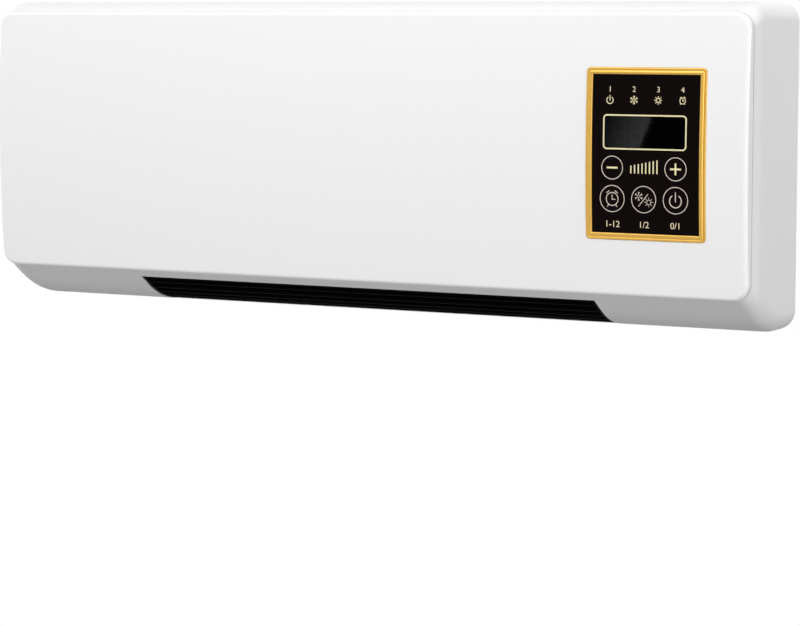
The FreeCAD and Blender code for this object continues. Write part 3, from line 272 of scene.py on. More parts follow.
# Back-printed acrylic: a brown-black ink under a satin hard coat, so the surroundings hardly show in it
FASCIA_BLACK = Finish(
    "Acrylic_back_printed_black", "#0e0808", "#0b0606", 1.2, 0.34, relief_mm=0.002, specular=0.03,
)
# Smoke-tinted acrylic over an unlit display: near black and clearly glossier than the fascia round it
WINDOW_SMOKE = Finish(
    "Acrylic_smoke_tint", "#020202", "#010101", 3.0, 0.02,
    roughness_spread=0.005, relief_mm=0.00004, specular=0.36,
)
# Screen-printed ink, pale gold: a thin dull film with a slight speckle of its pigment
INK_GOLD = Finish("Screen_ink_pale_gold", "#efe6ba", "#dcd098", 0.35, 0.55, relief_mm=0.001)
# Screen-printed ink, warm grey: the keys' rings and the lower keys' signs, less yellow than the gold
INK_GREY = Finish("Screen_ink_warm_grey", "#e2d8ca", "#cec3b4", 0.35, 0.55, relief_mm=0.001)
# Screen-printed ink, beige: the numbers, a little yellower than the rings
INK_BEIGE = Finish("Screen_ink_beige", "#f0dfbb", "#dccaa4", 0.35, 0.55, relief_mm=0.001)
# Unlit display segments: a diffuser film that hardly stands out from the tinted window
SEGMENT_GREY = Finish(
    "Polyester_diffuser_unlit", "#060606", "#040404", 0.5, 0.02,
    roughness_spread=0.005, relief_mm=0.00001, specular=0.42,
)
# EPDM rubber: dull black with a faint bloom
RUBBER_BLACK = Finish("EPDM_rubber_black", "#1b1b1c", "#262627", 0.7, 0.72, relief_mm=0.01, sheen=0.1)
# Glass-fibre laminate under solder mask: mid green with the weave showing through
BOARD_GREEN = Finish("Glass_fibre_laminate_green", "#1f5b2f", "#2a6e3b", 0.5, 0.38, Pattern.LAYERS, 0.6)
# Zinc-plated sheet steel: cool grey with rolling lines
STEEL_ZINC = Finish("Zinc_plated_steel", "#b9bbbd", "#9fa2a5", 0.5, 0.34, Pattern.DRAWN, 0.7, metallic=1.0)
# Stacked electrical steel: dark blue-grey, the sheets' edges showing as lines along the stack
STEEL_STACK = Finish(
    "Electrical_steel_laminations", "#5a5c60", "#2f3033", 0.5, 0.45, Pattern.LAYERS, 1.0,
    relief_mm=0.05, metallic=1.0,
)
# Enamelled copper wire wound in layers: red-brown gloss with a groove between turns
COPPER_WINDING = Finish(
    "Enamelled_copper_winding", "#a8541f", "#5c2a0e", 0.6, 0.32, Pattern.LAYERS, 1.0,
    relief_mm=0.12, metallic=0.7,
)
# Sintered bronze: dull brown-gold with the pores between its grains
BRONZE = Finish(
    "Sintered_bronze", "#a9793a", "#7c5526", 0.3, 0.5, Pattern.CELLS, 1.0, relief_mm=0.02, metallic=1.0,
)
# Bare rolled aluminium: light grey with fine drawing lines
ALUMINIUM = Finish("Rolled_aluminium", "#d6d8da", "#bfc2c5", 0.3, 0.3, Pattern.DRAWN, 0.7, metallic=1.0)
# Sintered barium titanate: warm dark grey with a close grain
CERAMIC = Finish(
    "Sintered_heating_ceramic", "#8d877d", "#6f6a62", 0.35, 0.6, Pattern.CELLS, 0.8, relief_mm=0.015,
)
# Moulded PBT, ivory: heat-proof holders and blocks with a soft grain
PBT_IVORY = Finish("PBT_ivory_moulded", "#e2dcc6", "#d3ccb2", 0.6, 0.46, relief_mm=0.008)
# Moulded PBT, blue: the cases of relays and capacitors, with a half-gloss skin
PBT_BLUE = Finish("PBT_blue_moulded", "#1f4f9a", "#1a4385", 0.8, 0.36, relief_mm=0.006)
# Moulded PBT, black: switches, sounder and fan wheel
PBT_BLACK = Finish("PBT_black_moulded", "#161617", "#222224", 0.6, 0.48, relief_mm=0.008)


def shade(mesh: Mesh, smooth_below: float) -> None:
    """Shades a mesh smooth, apart from edges sharper than an angle in degrees."""
    mesh.polygons.foreach_set("use_smooth", [True] * len(mesh.polygons))
    mesh.set_sharp_from_angle(angle=math.radians(smooth_below))


def mesh_from(builder: BMesh, name: str, smooth_below: float) -> Mesh:
    """Finishes a mesh under construction: merges doubles, turns faces outwards and sets its shading.

    Args:
        builder: the mesh under construction, freed here.
        name: the mesh's name.
        smooth_below: edges flatter than this angle, in degrees, are shaded smooth.

    Returns:
        The finished mesh.
    """
    bmesh.ops.remove_doubles(builder, verts=builder.verts, dist=BUILT_WELD * MM)
    bmesh.ops.recalc_face_normals(builder, faces=builder.faces)
    mesh = bpy.data.meshes.new(name)
    builder.to_mesh(mesh)
    builder.free()
    shade(mesh, smooth_below)
    return mesh


def even_slopes(builder: BMesh) -> list[Vector]:
    """The slope at each corner of a skin, shared among the faces there by size, so that flat faces stay flat.

    Args:
        builder: the mesh under construction, with its normals up to date.

    Returns:
        A unit vector for each corner, in the mesh's order.
    """
    least = math.cos(math.radians(SKIN_ANGLE))
    area = {face: face.calc_area() for face in builder.faces}
    slopes = []
    for face in builder.faces:
        for corner in face.loops:
            near = [other for other in corner.vert.link_loops if face.normal.dot(other.face.normal) > least]
            shares = [other.face.normal * area[other.face] * other.calc_angle() for other in near]
            total = sum(shares, Vector())
            slopes.append(total.normalized() if total.length > 0.0 else face.normal.copy())
    return slopes


def ring_of_loops(loops: Sequence[Sequence[Vector]], name: str, smooth_below: float) -> Mesh:
    """Joins closed loops of equal length, each to the next and the last to the first, to a closed ring.

    Args:
        loops: the loops, in order round the ring's section.
        name: the mesh's name.
        smooth_below: edges flatter than this angle, in degrees, are shaded smooth.

    Returns:
        The ring as a mesh.
    """
    builder = bmesh.new()
    rows = [[builder.verts.new(point) for point in loop] for loop in loops]
    for near, far in zip(rows, rows[1:] + rows[:1]):
        bridge(builder, near, far)
    return mesh_from(builder, name, smooth_below)


def bridge(builder: BMesh, near: Sequence[BMVert], far: Sequence[BMVert]) -> None:
    """Joins two closed rows of points by a band of faces.

    Args:
        builder: the mesh under construction.
        near: the first row.
        far: the second row, of equal length.
    """
    for start in range(len(near)):
        end = (start + 1) % len(near)
        builder.faces.new((near[start], near[end], far[end], far[start]))


def plain_mesh(carrier: Object, name: str) -> Mesh:
    """Turns an object with modifiers to a plain mesh and removes the object.

    Args:
        carrier: the object, with its modifiers set.
        name: the new mesh's name.

    Returns:
        The evaluated mesh.
    """
    graph = bpy.context.evaluated_depsgraph_get()
    mesh = bpy.data.meshes.new_from_object(carrier.evaluated_get(graph), depsgraph=graph)
    mesh.name = name
    carrier.modifiers.clear()
    bpy.data.objects.remove(carrier)
    return mesh


class SubAssembly:
    """Pieces that belong together, with the ways to place and dress them."""

    def place(
        self, mesh: Mesh, finish: Finish, slot: str, body: str = CASING, stands_for: Sequence[str] = (),
    ) -> Object:
        """Makes a piece of a mesh that is in place, and lets it ride on a body.

        Args:
            mesh: the mesh, whose name the piece takes.
            finish: the piece's finish.
            slot: the record's material slot that the finish belongs to; not used.
            body: the body that carries the piece.
            stands_for: the solids that the piece replaces.

        Returns:
            The piece.
        """
        mesh.materials.clear()
        mesh.materials.append(finish.make())
        piece = put(mesh.name, mesh)
        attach(piece, body)
        if stands_for:
            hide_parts(*stands_for)
        LOG.info("%s rides on %s", piece.name, body)
        return piece

    def skin(self, node: str, finish: Finish, crown: "CrownedFront | None" = None) -> Object:
        """Replaces a solid by its own surface with even shading.

        Args:
            node: the solid's name.
            finish: the piece's finish.
            crown: the crowned front whose true slope the shading follows, if the solid has it.

        Returns:
            The piece.
        """
        solid = frame["nodes"][node]
        builder = bmesh.new()
        builder.from_mesh(solid.data)
        bmesh.ops.remove_doubles(builder, verts=builder.verts, dist=SKIN_WELD * MM)
        builder.normal_update()
        slopes = even_slopes(builder)
        mesh = bpy.data.meshes.new(node + "_skin")
        builder.to_mesh(mesh)
        builder.free()
        shade(mesh, SKIN_ANGLE)
        if crown is not None:
            crown.follow(mesh, slopes)
        mesh.normals_split_custom_set(slopes)
        return self.place(mesh, finish, SLOT_OF_NODE[node], solid["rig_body"], [node])

    def dress(self, finish: Finish, *nodes: str) -> None:
        """Gives a finish to solids that stay as they are.

        Args:
            finish: the finish.
            nodes: the solids' names.
        """
        for node in nodes:
            mesh = frame["nodes"][node].data
            mesh.materials.clear()
            mesh.materials.append(finish.make())
            LOG.info("%s keeps its solid", node)


@dataclass
class Casing(SubAssembly):
    """The white cover and housing, the cord gland and the screws that hold them."""

    def build(self) -> None:
        """Dresses the casing."""
        self.skin("front_cover", COVER_WHITE, CrownedFront.of("front_cover"))
        self.skin("rear_housing", HOUSING_WHITE)
        self.skin("cord_gland", GRILLE_BLACK)
        self.dress(STEEL_ZINC, "cover_screws")


@dataclass
class NodeTool:
    """A Geometry Nodes tree with named inputs."""

    name: str
    tree: NodeTree = field(init=False)
    start: Node = field(init=False)
    sockets: dict[str, str] = field(init=False, default_factory=dict)

    def __post_init__(self) -> None:
        """Starts the tree with its geometry input and output."""
        self.tree = bpy.data.node_groups.new(self.name, "GeometryNodeTree")
        for way in ("INPUT", "OUTPUT"):
            self.tree.interface.new_socket("Geometry", in_out=way, socket_type="NodeSocketGeometry")
        self.start = self.tree.nodes.new("NodeGroupInput")

    def size(self, name: str, kind: str = "NodeSocketFloat") -> NodeSocket:
        """Adds a named input of a socket type and gives its socket in the tree."""
        self.sockets[name] = self.tree.interface.new_socket(name, in_out="INPUT", socket_type=kind).identifier
        return self.start.outputs[name]

    def node(self, kind: str, inputs: Values, **settings: Any) -> NodeSocket:
        """Adds a geometry node and gives its first output."""
        return add_node(self.tree, "GeometryNode" + kind, settings, inputs).outputs[0]

    def finish(self, instances: NodeSocket) -> None:
        """Ends the tree: makes the instances real and gives them their material.

        Args:
            instances: the instances' socket.
        """
        real = self.node("RealizeInstances", {"Geometry": instances})
        material = self.size("Material", "NodeSocketMaterial")
        dressed = self.node("SetMaterial", {"Geometry": real, "Material": material})
        add_node(self.tree, "NodeGroupOutput", None, {"Geometry": dressed})

    def run(self, base: Mesh, sizes: Values, name: str) -> Mesh:
        """Runs the tree on a base mesh.

        Args:
            base: what the tree starts from.
            sizes: a value for each named input.
            name: the new mesh's name.

        Returns:
            The result as a plain mesh.
        """
        carrier = put(name + "_carrier", base)
        modifier = carrier.modifiers.new(self.name, "NODES")
        modifier.node_group = self.tree
        for size, value in sizes.items():
            modifier[self.sockets[size]] = value
        return plain_mesh(carrier, name)


def slat_tool() -> NodeTool:
    """A tree that repeats a slat with rounded edges at even steps along a path.

    Returns:
        The tool, with its sizes in metres and its turn in radians.
    """
    tool = NodeTool("slats_along_path")
    count, edge_steps = [tool.size(name, "NodeSocketInt") for name in ("Slats", "Edge steps")]
    left, right, turn = [tool.size(name, "NodeSocketVector") for name in ("Left", "Right", "Turn")]
    thickness, depth, edge = [tool.size(name) for name in ("Thickness", "Depth", "Edge radius")]
    path = tool.node("MeshToCurve", {"Mesh": tool.start.outputs["Geometry"]})
    stops = tool.node("ResampleCurve", {"Curve": path, "Count": count}, mode="COUNT")
    line = tool.node("CurvePrimitiveLine", {"Start": left, "End": right})
    section = tool.node("CurvePrimitiveQuadrilateral", {"Width": thickness, "Height": depth})
    section = tool.node("FilletCurve", {"Curve": section, "Count": edge_steps, "Radius": edge}, mode="POLY")
    slat = tool.node("CurveToMesh", {"Curve": line, "Profile Curve": section, "Fill Caps": True})
    tool.finish(tool.node("InstanceOnPoints", {"Points": stops, "Instance": slat, "Rotation": turn}))
    return tool


def rib_tool() -> NodeTool:
    """A tree that sweeps a flat rib along a path and repeats it across the width.

    Returns:
        The tool, with its sizes in metres.
    """
    tool = NodeTool("ribs_across_width")
    count = tool.size("Ribs", "NodeSocketInt")
    first, pitch = [tool.size(name, "NodeSocketVector") for name in ("First", "Pitch")]
    thickness, height = [tool.size(name) for name in ("Thickness", "Height")]
    path = tool.node("MeshToCurve", {"Mesh": tool.start.outputs["Geometry"]})
    section = tool.node("CurvePrimitiveQuadrilateral", {"Width": thickness, "Height": height})
    rib = tool.node("CurveToMesh", {"Curve": path, "Profile Curve": section, "Fill Caps": True})
    stops = tool.node("MeshLine", {"Count": count, "Start Location": first, "Offset": pitch}, mode="OFFSET")
    tool.finish(tool.node("InstanceOnPoints", {"Points": stops, "Instance": rib}))
    return tool


def even_steps(first: float, last: float, steps: int) -> list[float]:
    """Values from the first to the last at even steps, both included."""
    return [first + (last - first) * step / steps for step in range(steps + 1)]


@dataclass
class OutletGrille(SubAssembly):
    """The black grille in the bottom flare: a rim, fixed slats and set-back ribs. Sizes in millimetres."""

    node: str = "outlet_grille"
    rim_y: float = -64.0
    rim_z: float = -122.0
    slope: float = math.radians(35.0)
    straight: float = 16.0
    arc_radius: float = 60.0
    fit: float = 0.25
    start_run: float = 8.25
    end_slope: float = math.radians(4.0)
    half_width: float = 159.75
    recess: float = 0.4
    depth: float = 8.0
    band: float = 2.4
    edge: float = 0.4
    slats: int = 5
    slat_recess: float = 0.5
    slat_thickness: float = 1.8
    slat_depth: float = 7.4
    slat_edge: float = 0.81
    slat_edge_steps: int = 3
    slat_lean: float = math.radians(35.0)
    ribs: int = 7
    rib_thickness: float = 1.6
    rib_height: float = 4.2
    steps: int = 20

    def bend_run(self) -> float:
        """The run at which the straight slope ends."""
        return self.straight / math.cos(self.slope)

    def end_run(self) -> float:
        """The run at which the grille ends."""
        return self.bend_run() + self.arc_radius * (self.slope - self.end_slope) - self.fit

    def on_flare(self, x: float, run: float, inset: float) -> Vector:
        """A point of the bottom flare.

        Args:
            x: the place across the width.
            run: the distance along the flare from its front rim.
            inset: the depth below the flare's surface.

        Returns:
            The point, in metres.
        """
        along = min(run, self.bend_run())
        lean = self.slope - max(run - self.bend_run(), 0.0) / self.arc_radius
        back = self.arc_radius * (math.sin(self.slope) - math.sin(lean))
        down = self.arc_radius * (math.cos(self.slope) - math.cos(lean))
        y = self.rim_y + along * math.cos(self.slope) + back
        z = self.rim_z - along * math.sin(self.slope) + down
        return Vector((x, y + inset * math.sin(lean), z + inset * math.cos(lean))) * MM

    def loop(self, shrink: float, inset: float) -> list[Vector]:
        """A closed loop round the opening.

        Args:
            shrink: the margin by which it is drawn in.
            inset: the depth by which it is sunk.

        Returns:
            Its points, in metres.
        """
        half = self.half_width - shrink
        runs = even_steps(self.start_run + shrink, self.end_run() - shrink, self.steps)
        ends = [(half, run) for run in runs] + [(-half, run) for run in reversed(runs)]
        return [self.on_flare(x, run, inset) for x, run in ends]

    def path(self, margin: float, inset: float, name: str) -> Mesh:
        """A line of edges along the flare at its middle.

        Args:
            margin: how far from the grille's front and rear it starts and ends.
            inset: the depth by which it is sunk.
            name: the mesh's name.

        Returns:
            The line as a mesh.
        """
        runs = even_steps(self.start_run + margin, self.end_run() - margin, self.steps)
        points = [self.on_flare(0.0, run, inset) for run in runs]
        line = bpy.data.meshes.new(name)
        line.from_pydata(points, [(near, near + 1) for near in range(self.steps)], [])
        return line

    def slat_mesh(self) -> Mesh:
        """The slats.

        Returns:
            All of them as one mesh.
        """
        step = (self.end_run() - self.start_run) / (self.slats + 1)
        middle = self.recess + self.slat_recess + self.slat_depth / 2 * math.cos(self.slope)
        half = (self.half_width - self.band) * MM
        return slat_tool().run(self.path(step, middle, "slat_path"), {
            "Slats": self.slats, "Left": (-half, 0.0, 0.0), "Right": (half, 0.0, 0.0),
            "Turn": (-self.slat_lean, 0.0, 0.0), "Thickness": self.slat_thickness * MM,
            "Depth": self.slat_depth * MM, "Edge radius": self.slat_edge * MM,
            "Edge steps": self.slat_edge_steps, "Material": GRILLE_BLACK.make(),
        }, "outlet_slats")

    def rib_mesh(self) -> Mesh:
        """The ribs behind the slats.

        Returns:
            All of them as one mesh.
        """
        middle = self.recess + self.depth - self.rib_height / 2
        pitch = 2 * self.half_width / (self.ribs + 1)
        return rib_tool().run(self.path(self.band, middle, "rib_path"), {
            "Ribs": self.ribs, "First": ((pitch - self.half_width) * MM, 0.0, 0.0),
            "Pitch": (pitch * MM, 0.0, 0.0), "Thickness": self.rib_thickness * MM,
            "Height": self.rib_height * MM, "Material": GRILLE_BLACK.make(),
        }, "outlet_ribs")

    def build(self) -> None:
        """Builds the rim, the slats and the ribs."""
        inner = self.recess + self.depth
        round_edge = self.recess + self.edge
        sections = [
            (0.0, inner), (0.0, round_edge), (self.edge, self.recess), (self.band - self.edge, self.recess),
            (self.band, round_edge), (self.band, inner),
        ]
        rim = ring_of_loops([self.loop(*section) for section in sections], "outlet_rim", GRILLE_ANGLE)
        self.place(rim, GRILLE_BLACK, SLOT_OF_NODE[self.node], stands_for=[self.node])
        for mesh in (self.slat_mesh(), self.rib_mesh()):
            shade(mesh, GRILLE_ANGLE)
            self.place(mesh, GRILLE_BLACK, SLOT_OF_NODE[self.node])


def arc(radius: float, start: float, end: float, steps: int, centre: Point = (0.0, 0.0)) -> list[Point]:
    """Points along an arc.

    Args:
        radius: the arc's radius.
        start: its first angle in degrees, counted from the right, leftwards over the top.
        end: its last angle in degrees.
        steps: how many steps it has.
        centre: its centre.

    Returns:
        The points, ends included.
    """
    angles = [math.radians(angle) for angle in even_steps(start, end, steps)]
    return [(centre[0] + radius * math.cos(a), centre[1] + radius * math.sin(a)) for a in angles]


def circle(radius: float, centre: Point = (0.0, 0.0)) -> list[Point]:
    """Points of a closed ring."""
    return arc(radius, 0, 360, RING_STEPS, centre)[:-1]


def rounded(half: Sequence[float], radius: float, side_steps: int, centre: Point = (0.0, 0.0)) -> list[Point]:
    """The outline of a rectangle with rounded corners.

    Args:
        half: half its width and half its height.
        radius: its corners' radius.
        side_steps: how many steps its left and right sides have.
        centre: its middle.

    Returns:
        Its points in order.
    """
    reach, rise = half[0] - radius, half[1] - radius
    outline: list[Point] = []
    for side, level, angle in CORNERS:
        corner = (centre[0] + side * reach, centre[1] + level * rise)
        outline += arc(radius, angle, angle + 90, CORNER_STEPS, corner)
        if side != level:
            steps = even_steps(level * rise, -level * rise, side_steps)[1:-1]
            outline += [(centre[0] + side * half[0], centre[1] + up) for up in steps]
    return outline


@dataclass(frozen=True)
class Mark:
    """A line of a sign, from its middle in shares of its height, and how often it stands round the middle."""

    points: Sequence[Point]
    turns: int = 1
    closed: bool = False


class Sign(Enum):
    """The generic signs on the control panel."""

    POWER = (Mark(arc(0.42, 122, 418, 36, (0.0, -0.05))), Mark(((0.0, -0.12), (0.0, 0.56))))
    COOL = (
        Mark(((0.0, 0.1), (0.0, 0.5)), 6),
        Mark(((0.0, 0.28), (0.0866, 0.49)), 6), Mark(((0.0, 0.28), (-0.0866, 0.49)), 6),
    )
    WARM = (Mark(circle(0.24), closed=True), Mark(((0.0, 0.33), (0.0, 0.5)), 8))
    CLOCK = (
        Mark(circle(0.36, (0.0, -0.02)), closed=True), Mark(((0.0, 0.22), (0.0, -0.04), (0.2, -0.04))),
        Mark(((0.35, 0.31), (0.16, 0.45))), Mark(((-0.35, 0.31), (-0.16, 0.45))),
        Mark(((0.22, -0.34), (0.29, -0.45))), Mark(((-0.22, -0.34), (-0.29, -0.45))),
    )
    SLASH = (Mark(((-0.29, -0.36), (0.24, 0.28))),)
    LESS = (Mark(((-0.5, 0.0), (0.5, 0.0))),)
    MORE = (Mark(((-0.5, 0.0), (0.5, 0.0))), Mark(((0.0, -0.5), (0.0, 0.5))))


@dataclass(frozen=True)
class PrintedSign:
    """A sign as it is printed: its height, its lines' width and its middle's shift. Sizes in millimetres."""

    sign: Sign
    height: float
    line: float
    shift: Point = (0.0, 0.0)

    def strokes(self, centre: Point) -> list[Stroke]:
        """Draws the sign.

        Args:
            centre: the place that it stands on, apart from its shift.

        Returns:
            Its strokes.
        """
        right, up = centre[0] + self.shift[0], centre[1] + self.shift[1]
        strokes: list[Stroke] = []
        for mark in self.sign.value:
            for turn in range(mark.turns):
                angle = math.tau * turn / mark.turns
                c, s = self.height * math.cos(angle), self.height * math.sin(angle)
                points = [(right + x * c - y * s, up + x * s + y * c) for x, y in mark.points]
                strokes.append((points, self.line, mark.closed))
        return strokes


@dataclass
class CrownedFront:
    """A solid's crowned front, which print, trim and shading follow. Sizes in millimetres."""

    middle_x: float
    middle_z: float
    apex_y: float
    crown_z: float
    radius: float = 842.5
    # A corner of a mesh this close to the crown lies on it
    tolerance: float = 0.02
    # How far ink is rooted in the surface, and the least cosine of its mitres
    ink_root: float = 0.01
    ink_mitre: float = 0.5
    # A digit's height as a share of the font's size, half its thickness, its lift and its curves' steps
    digit_share: float = 0.7
    digit_half: float = 0.03
    digit_lift: float = 0.02
    digit_steps: int = 4

    @classmethod
    def of(cls, node: str) -> "CrownedFront":
        """The crowned front of a solid, level with the crown of the cover.

        Args:
            node: the solid's name.

        Returns:
            Its front.
        """
        low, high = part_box(node)
        bottom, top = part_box("front_cover")
        crown_z = (bottom.z + top.z) / 2 / MM
        return cls((low.x + high.x) / 2 / MM, (low.z + high.z) / 2 / MM, low.y / MM, crown_z)

    def follow(self, mesh: Mesh, slopes: list[Vector]) -> None:
        """Gives the corners that lie on the crown its true slope, so that long triangles leave no streaks.

        Args:
            mesh: the mesh.
            slopes: the slope at each of its corners, changed here.
        """
        axis = Vector((0.0, self.apex_y + self.radius, self.crown_z))
        most = math.radians(SKIN_ANGLE)
        for face in mesh.polygons:
            for corner in face.loop_indices:
                outwards = mesh.vertices[mesh.loops[corner].vertex_index].co / MM - axis
                outwards.x = 0.0
                near = abs(outwards.length - self.radius) < self.tolerance
                if near and face.normal.angle(outwards, math.pi) < most:
                    slopes[corner] = outwards.normalized()

    def point(self, across: float, up: float, lift: float) -> Vector:
        """A point in metres, from its place on the solid and its height over the surface."""
        sag = self.radius - math.sqrt(self.radius ** 2 - (self.middle_z + up - self.crown_z) ** 2)
        return Vector((self.middle_x + across, self.apex_y + sag - lift, self.middle_z + up)) * MM

    def print_mesh(self, strokes: Sequence[Stroke], name: str, film: float) -> Mesh:
        """Lays strokes of ink on the surface.

        Args:
            strokes: each a line of points, its width, and whether it is closed.
            name: the mesh's name.
            film: the ink's thickness.

        Returns:
            The print as a mesh.
        """
        builder = bmesh.new()
        for stroke in strokes:
            self.lay(builder, stroke, film)
        return mesh_from(builder, name, PRINT_ANGLE)

    def lay(self, builder: BMesh, stroke: Stroke, film: float) -> None:
        """Adds one stroke of ink to a mesh under construction.

        Args:
            builder: the mesh under construction.
            stroke: a line of points, its width, and whether it is closed.
            film: the ink's thickness.
        """
        points, width, closed = stroke
        last = len(points) - 1
        rows = []
        for place, (across, up) in enumerate(points):
            here = Vector((across, up))
            ways = []
            if closed or place > 0:
                ways.append((here - Vector(points[place - 1])).normalized())
            if closed or place < last:
                ways.append((Vector(points[(place + 1) % len(points)]) - here).normalized())
            way = sum(ways, Vector((0.0, 0.0))).normalized()
            side = Vector((-way.y, way.x)) * (width / 2 / max(way.dot(ways[0]), self.ink_mitre))
            rows.append([
                builder.verts.new(self.point(across + turn * side.x, up + turn * side.y, lift))
                for turn, lift in ((1, -self.ink_root), (1, film), (-1, film), (-1, -self.ink_root))
            ])
        for near, far in zip(rows, rows[1:] + rows[:1] if closed else rows[1:]):
            bridge(builder, near, far)
        if not closed:
            builder.faces.new(rows[0])
            builder.faces.new(rows[-1])

    def number_mesh(self, digits: str, height: float, middle: Point, name: str) -> Mesh:
        """Lays a plain number on the surface.

        Args:
            digits: the number.
            height: its digits' height.
            middle: its middle's place on the solid.
            name: the mesh's name.

        Returns:
            The number as a mesh.
        """
        line = bpy.data.curves.new(name + "_line", "FONT")
        line.body = digits
        line.size = height / self.digit_share
        line.align_x = "CENTER"
        line.align_y = "CENTER"
        line.extrude = self.digit_half
        line.resolution_u = self.digit_steps
        flat = plain_mesh(put(name + "_carrier", line), name)
        for vertex in flat.vertices:
            across, up, lift = vertex.co
            vertex.co = self.point(middle[0] + across, middle[1] + up, lift + self.digit_lift)
        builder = bmesh.new()
        builder.from_mesh(flat)
        bpy.data.meshes.remove(flat)
        return mesh_from(builder, name, DIGIT_ANGLE)


@dataclass
class ControlPanel(SubAssembly):
    """The gold frame, the fascia with its print, the window and the keys. Sizes in millimetres."""

    front: CrownedFront = field(default_factory=lambda: CrownedFront.of("control_fascia"))
    fascia_sink: float = 0.2
    # The frame's section, from its outline inwards: the inset and the lift over the cover of each point.
    # A rounded outer ridge, a groove and a wider inner ridge
    ridge: tuple[Point, ...] = (
        (0.0, -2.6), (0.0, 0.1), (0.12, 0.28), (0.35, 0.4), (0.7, 0.45), (1.05, 0.4), (1.3, 0.26),
        (1.45, 0.14), (1.6, 0.14), (1.75, 0.36), (2.0, 0.62), (2.4, 0.8), (2.9, 0.87), (3.4, 0.8),
        (3.75, 0.62), (3.9, 0.4), (3.9, -2.6),
    )
    corner: float = 2.6
    least_corner: float = 0.02
    side_steps: int = 14
    ink_film: float = 0.05
    # The signs over the indicators, from the left
    lamp_signs: tuple[PrintedSign, ...] = (
        PrintedSign(Sign.POWER, 4.8, 0.5), PrintedSign(Sign.COOL, 4.8, 0.5),
        PrintedSign(Sign.WARM, 4.8, 0.46), PrintedSign(Sign.CLOCK, 4.8, 0.4),
    )
    lamp_pitch: float = 15.1
    lamp_rise: float = 31.0
    lamp_digit: float = 3.2
    lamp_digit_rise: float = 37.0
    # Each key with its sign's ink and parts
    key_signs: tuple[tuple[str, Finish, tuple[PrintedSign, ...]], ...] = (
        ("key_minus", INK_GOLD, (PrintedSign(Sign.LESS, 6.8, 1.05),)),
        ("key_plus", INK_GOLD, (PrintedSign(Sign.MORE, 6.8, 1.05),)),
        ("key_timer", INK_GREY, (PrintedSign(Sign.CLOCK, 10.4, 0.46),)),
        ("key_mode", INK_GREY, (
            PrintedSign(Sign.SLASH, 11.4, 0.4), PrintedSign(Sign.COOL, 5.016, 0.32, (-3.078, 1.824)),
            PrintedSign(Sign.WARM, 5.472, 0.32, (3.192, -1.482)),
        )),
        ("key_power", INK_GREY, (PrintedSign(Sign.POWER, 8.7, 0.56),)),
    )
    # The plain numbers under the lower keys
    key_numbers: tuple[tuple[str, str], ...] = (
        ("key_timer", "1-12"), ("key_mode", "1/2"), ("key_power", "0/1"),
    )
    key_digit: float = 3.7
    key_digit_drop: float = 40.7
    ring_inset: float = 1.1
    ring_line: float = 0.42
    outline_gap: float = 0.45
    outline_corner: float = 2.0
    outline_line: float = 0.86
    bars: int = 8
    bar_shift: float = -0.75
    bar_pitch: float = 2.33
    bar_drop: float = 11.05
    bar_least: float = 4.5
    bar_growth: float = 3.3
    bar_line: float = 0.8
    digits: int = 4
    digit_pitch: float = 10.4
    digit_width: float = 6.6
    digit_height: float = 11.5
    segment_gap: float = 0.35
    segment_line: float = 0.9
    segment_film: float = 0.02

    def spot(self, node: str) -> tuple[Point, Point]:
        """Where a solid lies on the panel.

        Args:
            node: the solid's name.

        Returns:
            Its middle, from the panel's middle, and half its width and height.
        """
        low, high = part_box(node)
        across = (low.x + high.x) / 2 / MM - self.front.middle_x
        up = (low.z + high.z) / 2 / MM - self.front.middle_z
        return (across, up), ((high.x - low.x) / 2 / MM, (high.z - low.z) / 2 / MM)

    def frame_loop(self, inset: float, lift: float) -> list[Vector]:
        """A loop round the frame.

        Args:
            inset: how far it is drawn in from the frame's outline.
            lift: its height over the cover's surface.

        Returns:
            Its points, in metres.
        """
        half = [side - inset for side in self.spot("control_frame")[1]]
        loop = rounded(half, max(self.corner - inset, self.least_corner), self.side_steps)
        return [self.front.point(across, up, lift + self.fascia_sink) for across, up in loop]

    def build_frame(self) -> None:
        """Builds the gold frame."""
        mesh = ring_of_loops([self.frame_loop(*place) for place in self.ridge], "gold_frame", FRAME_ANGLE)
        self.place(mesh, GOLD_TRIM, SLOT_OF_NODE["control_frame"], stands_for=["control_frame"])

    def print_on(self, strokes: Sequence[Stroke], name: str, finish: Finish, body: str = CASING) -> None:
        """Prints strokes on the panel."""
        mesh = self.front.print_mesh(strokes, name, self.ink_film)
        self.place(mesh, finish, SLOT_OF_NODE["indicator_lenses"], body)

    def print_number(self, digits: str, height: float, middle: Point, name: str) -> None:
        """Prints a plain number on the panel."""
        mesh = self.front.number_mesh(digits, height, middle, name)
        self.place(mesh, INK_BEIGE, SLOT_OF_NODE["indicator_lenses"])

    def build_indicators(self) -> None:
        """Prints a sign and a number over each indicator."""
        for place, sign in enumerate(self.lamp_signs):
            number = str(place + 1)
            across = self.lamp_pitch * (place - (len(self.lamp_signs) - 1) / 2)
            self.print_on(sign.strokes((across, self.lamp_rise)), "indicator_sign_" + number, INK_GOLD)
            middle = (across, self.lamp_digit_rise)
            self.print_number(number, self.lamp_digit, middle, "indicator_number_" + number)

    def build_print(self) -> None:
        """Prints the window's outline, the level bars and the keys' numbers."""
        middle, window = self.spot("display_window")
        outline = rounded([side + self.outline_gap for side in window], self.outline_corner, 1, middle)
        self.print_on([(outline, self.outline_line, True)], "window_outline", INK_GOLD)
        bars: list[Stroke] = []
        for number in range(self.bars):
            across = self.bar_shift + self.bar_pitch * (number - (self.bars - 1) / 2)
            height = self.bar_least + self.bar_growth * number / (self.bars - 1)
            bars.append(([(across, -self.bar_drop), (across, height - self.bar_drop)], self.bar_line, False))
        self.print_on(bars, "level_bars", INK_GOLD)
        for node, digits in self.key_numbers:
            middle = (self.spot(node)[0][0], -self.key_digit_drop)
            self.print_number(digits, self.key_digit, middle, node + "_number")

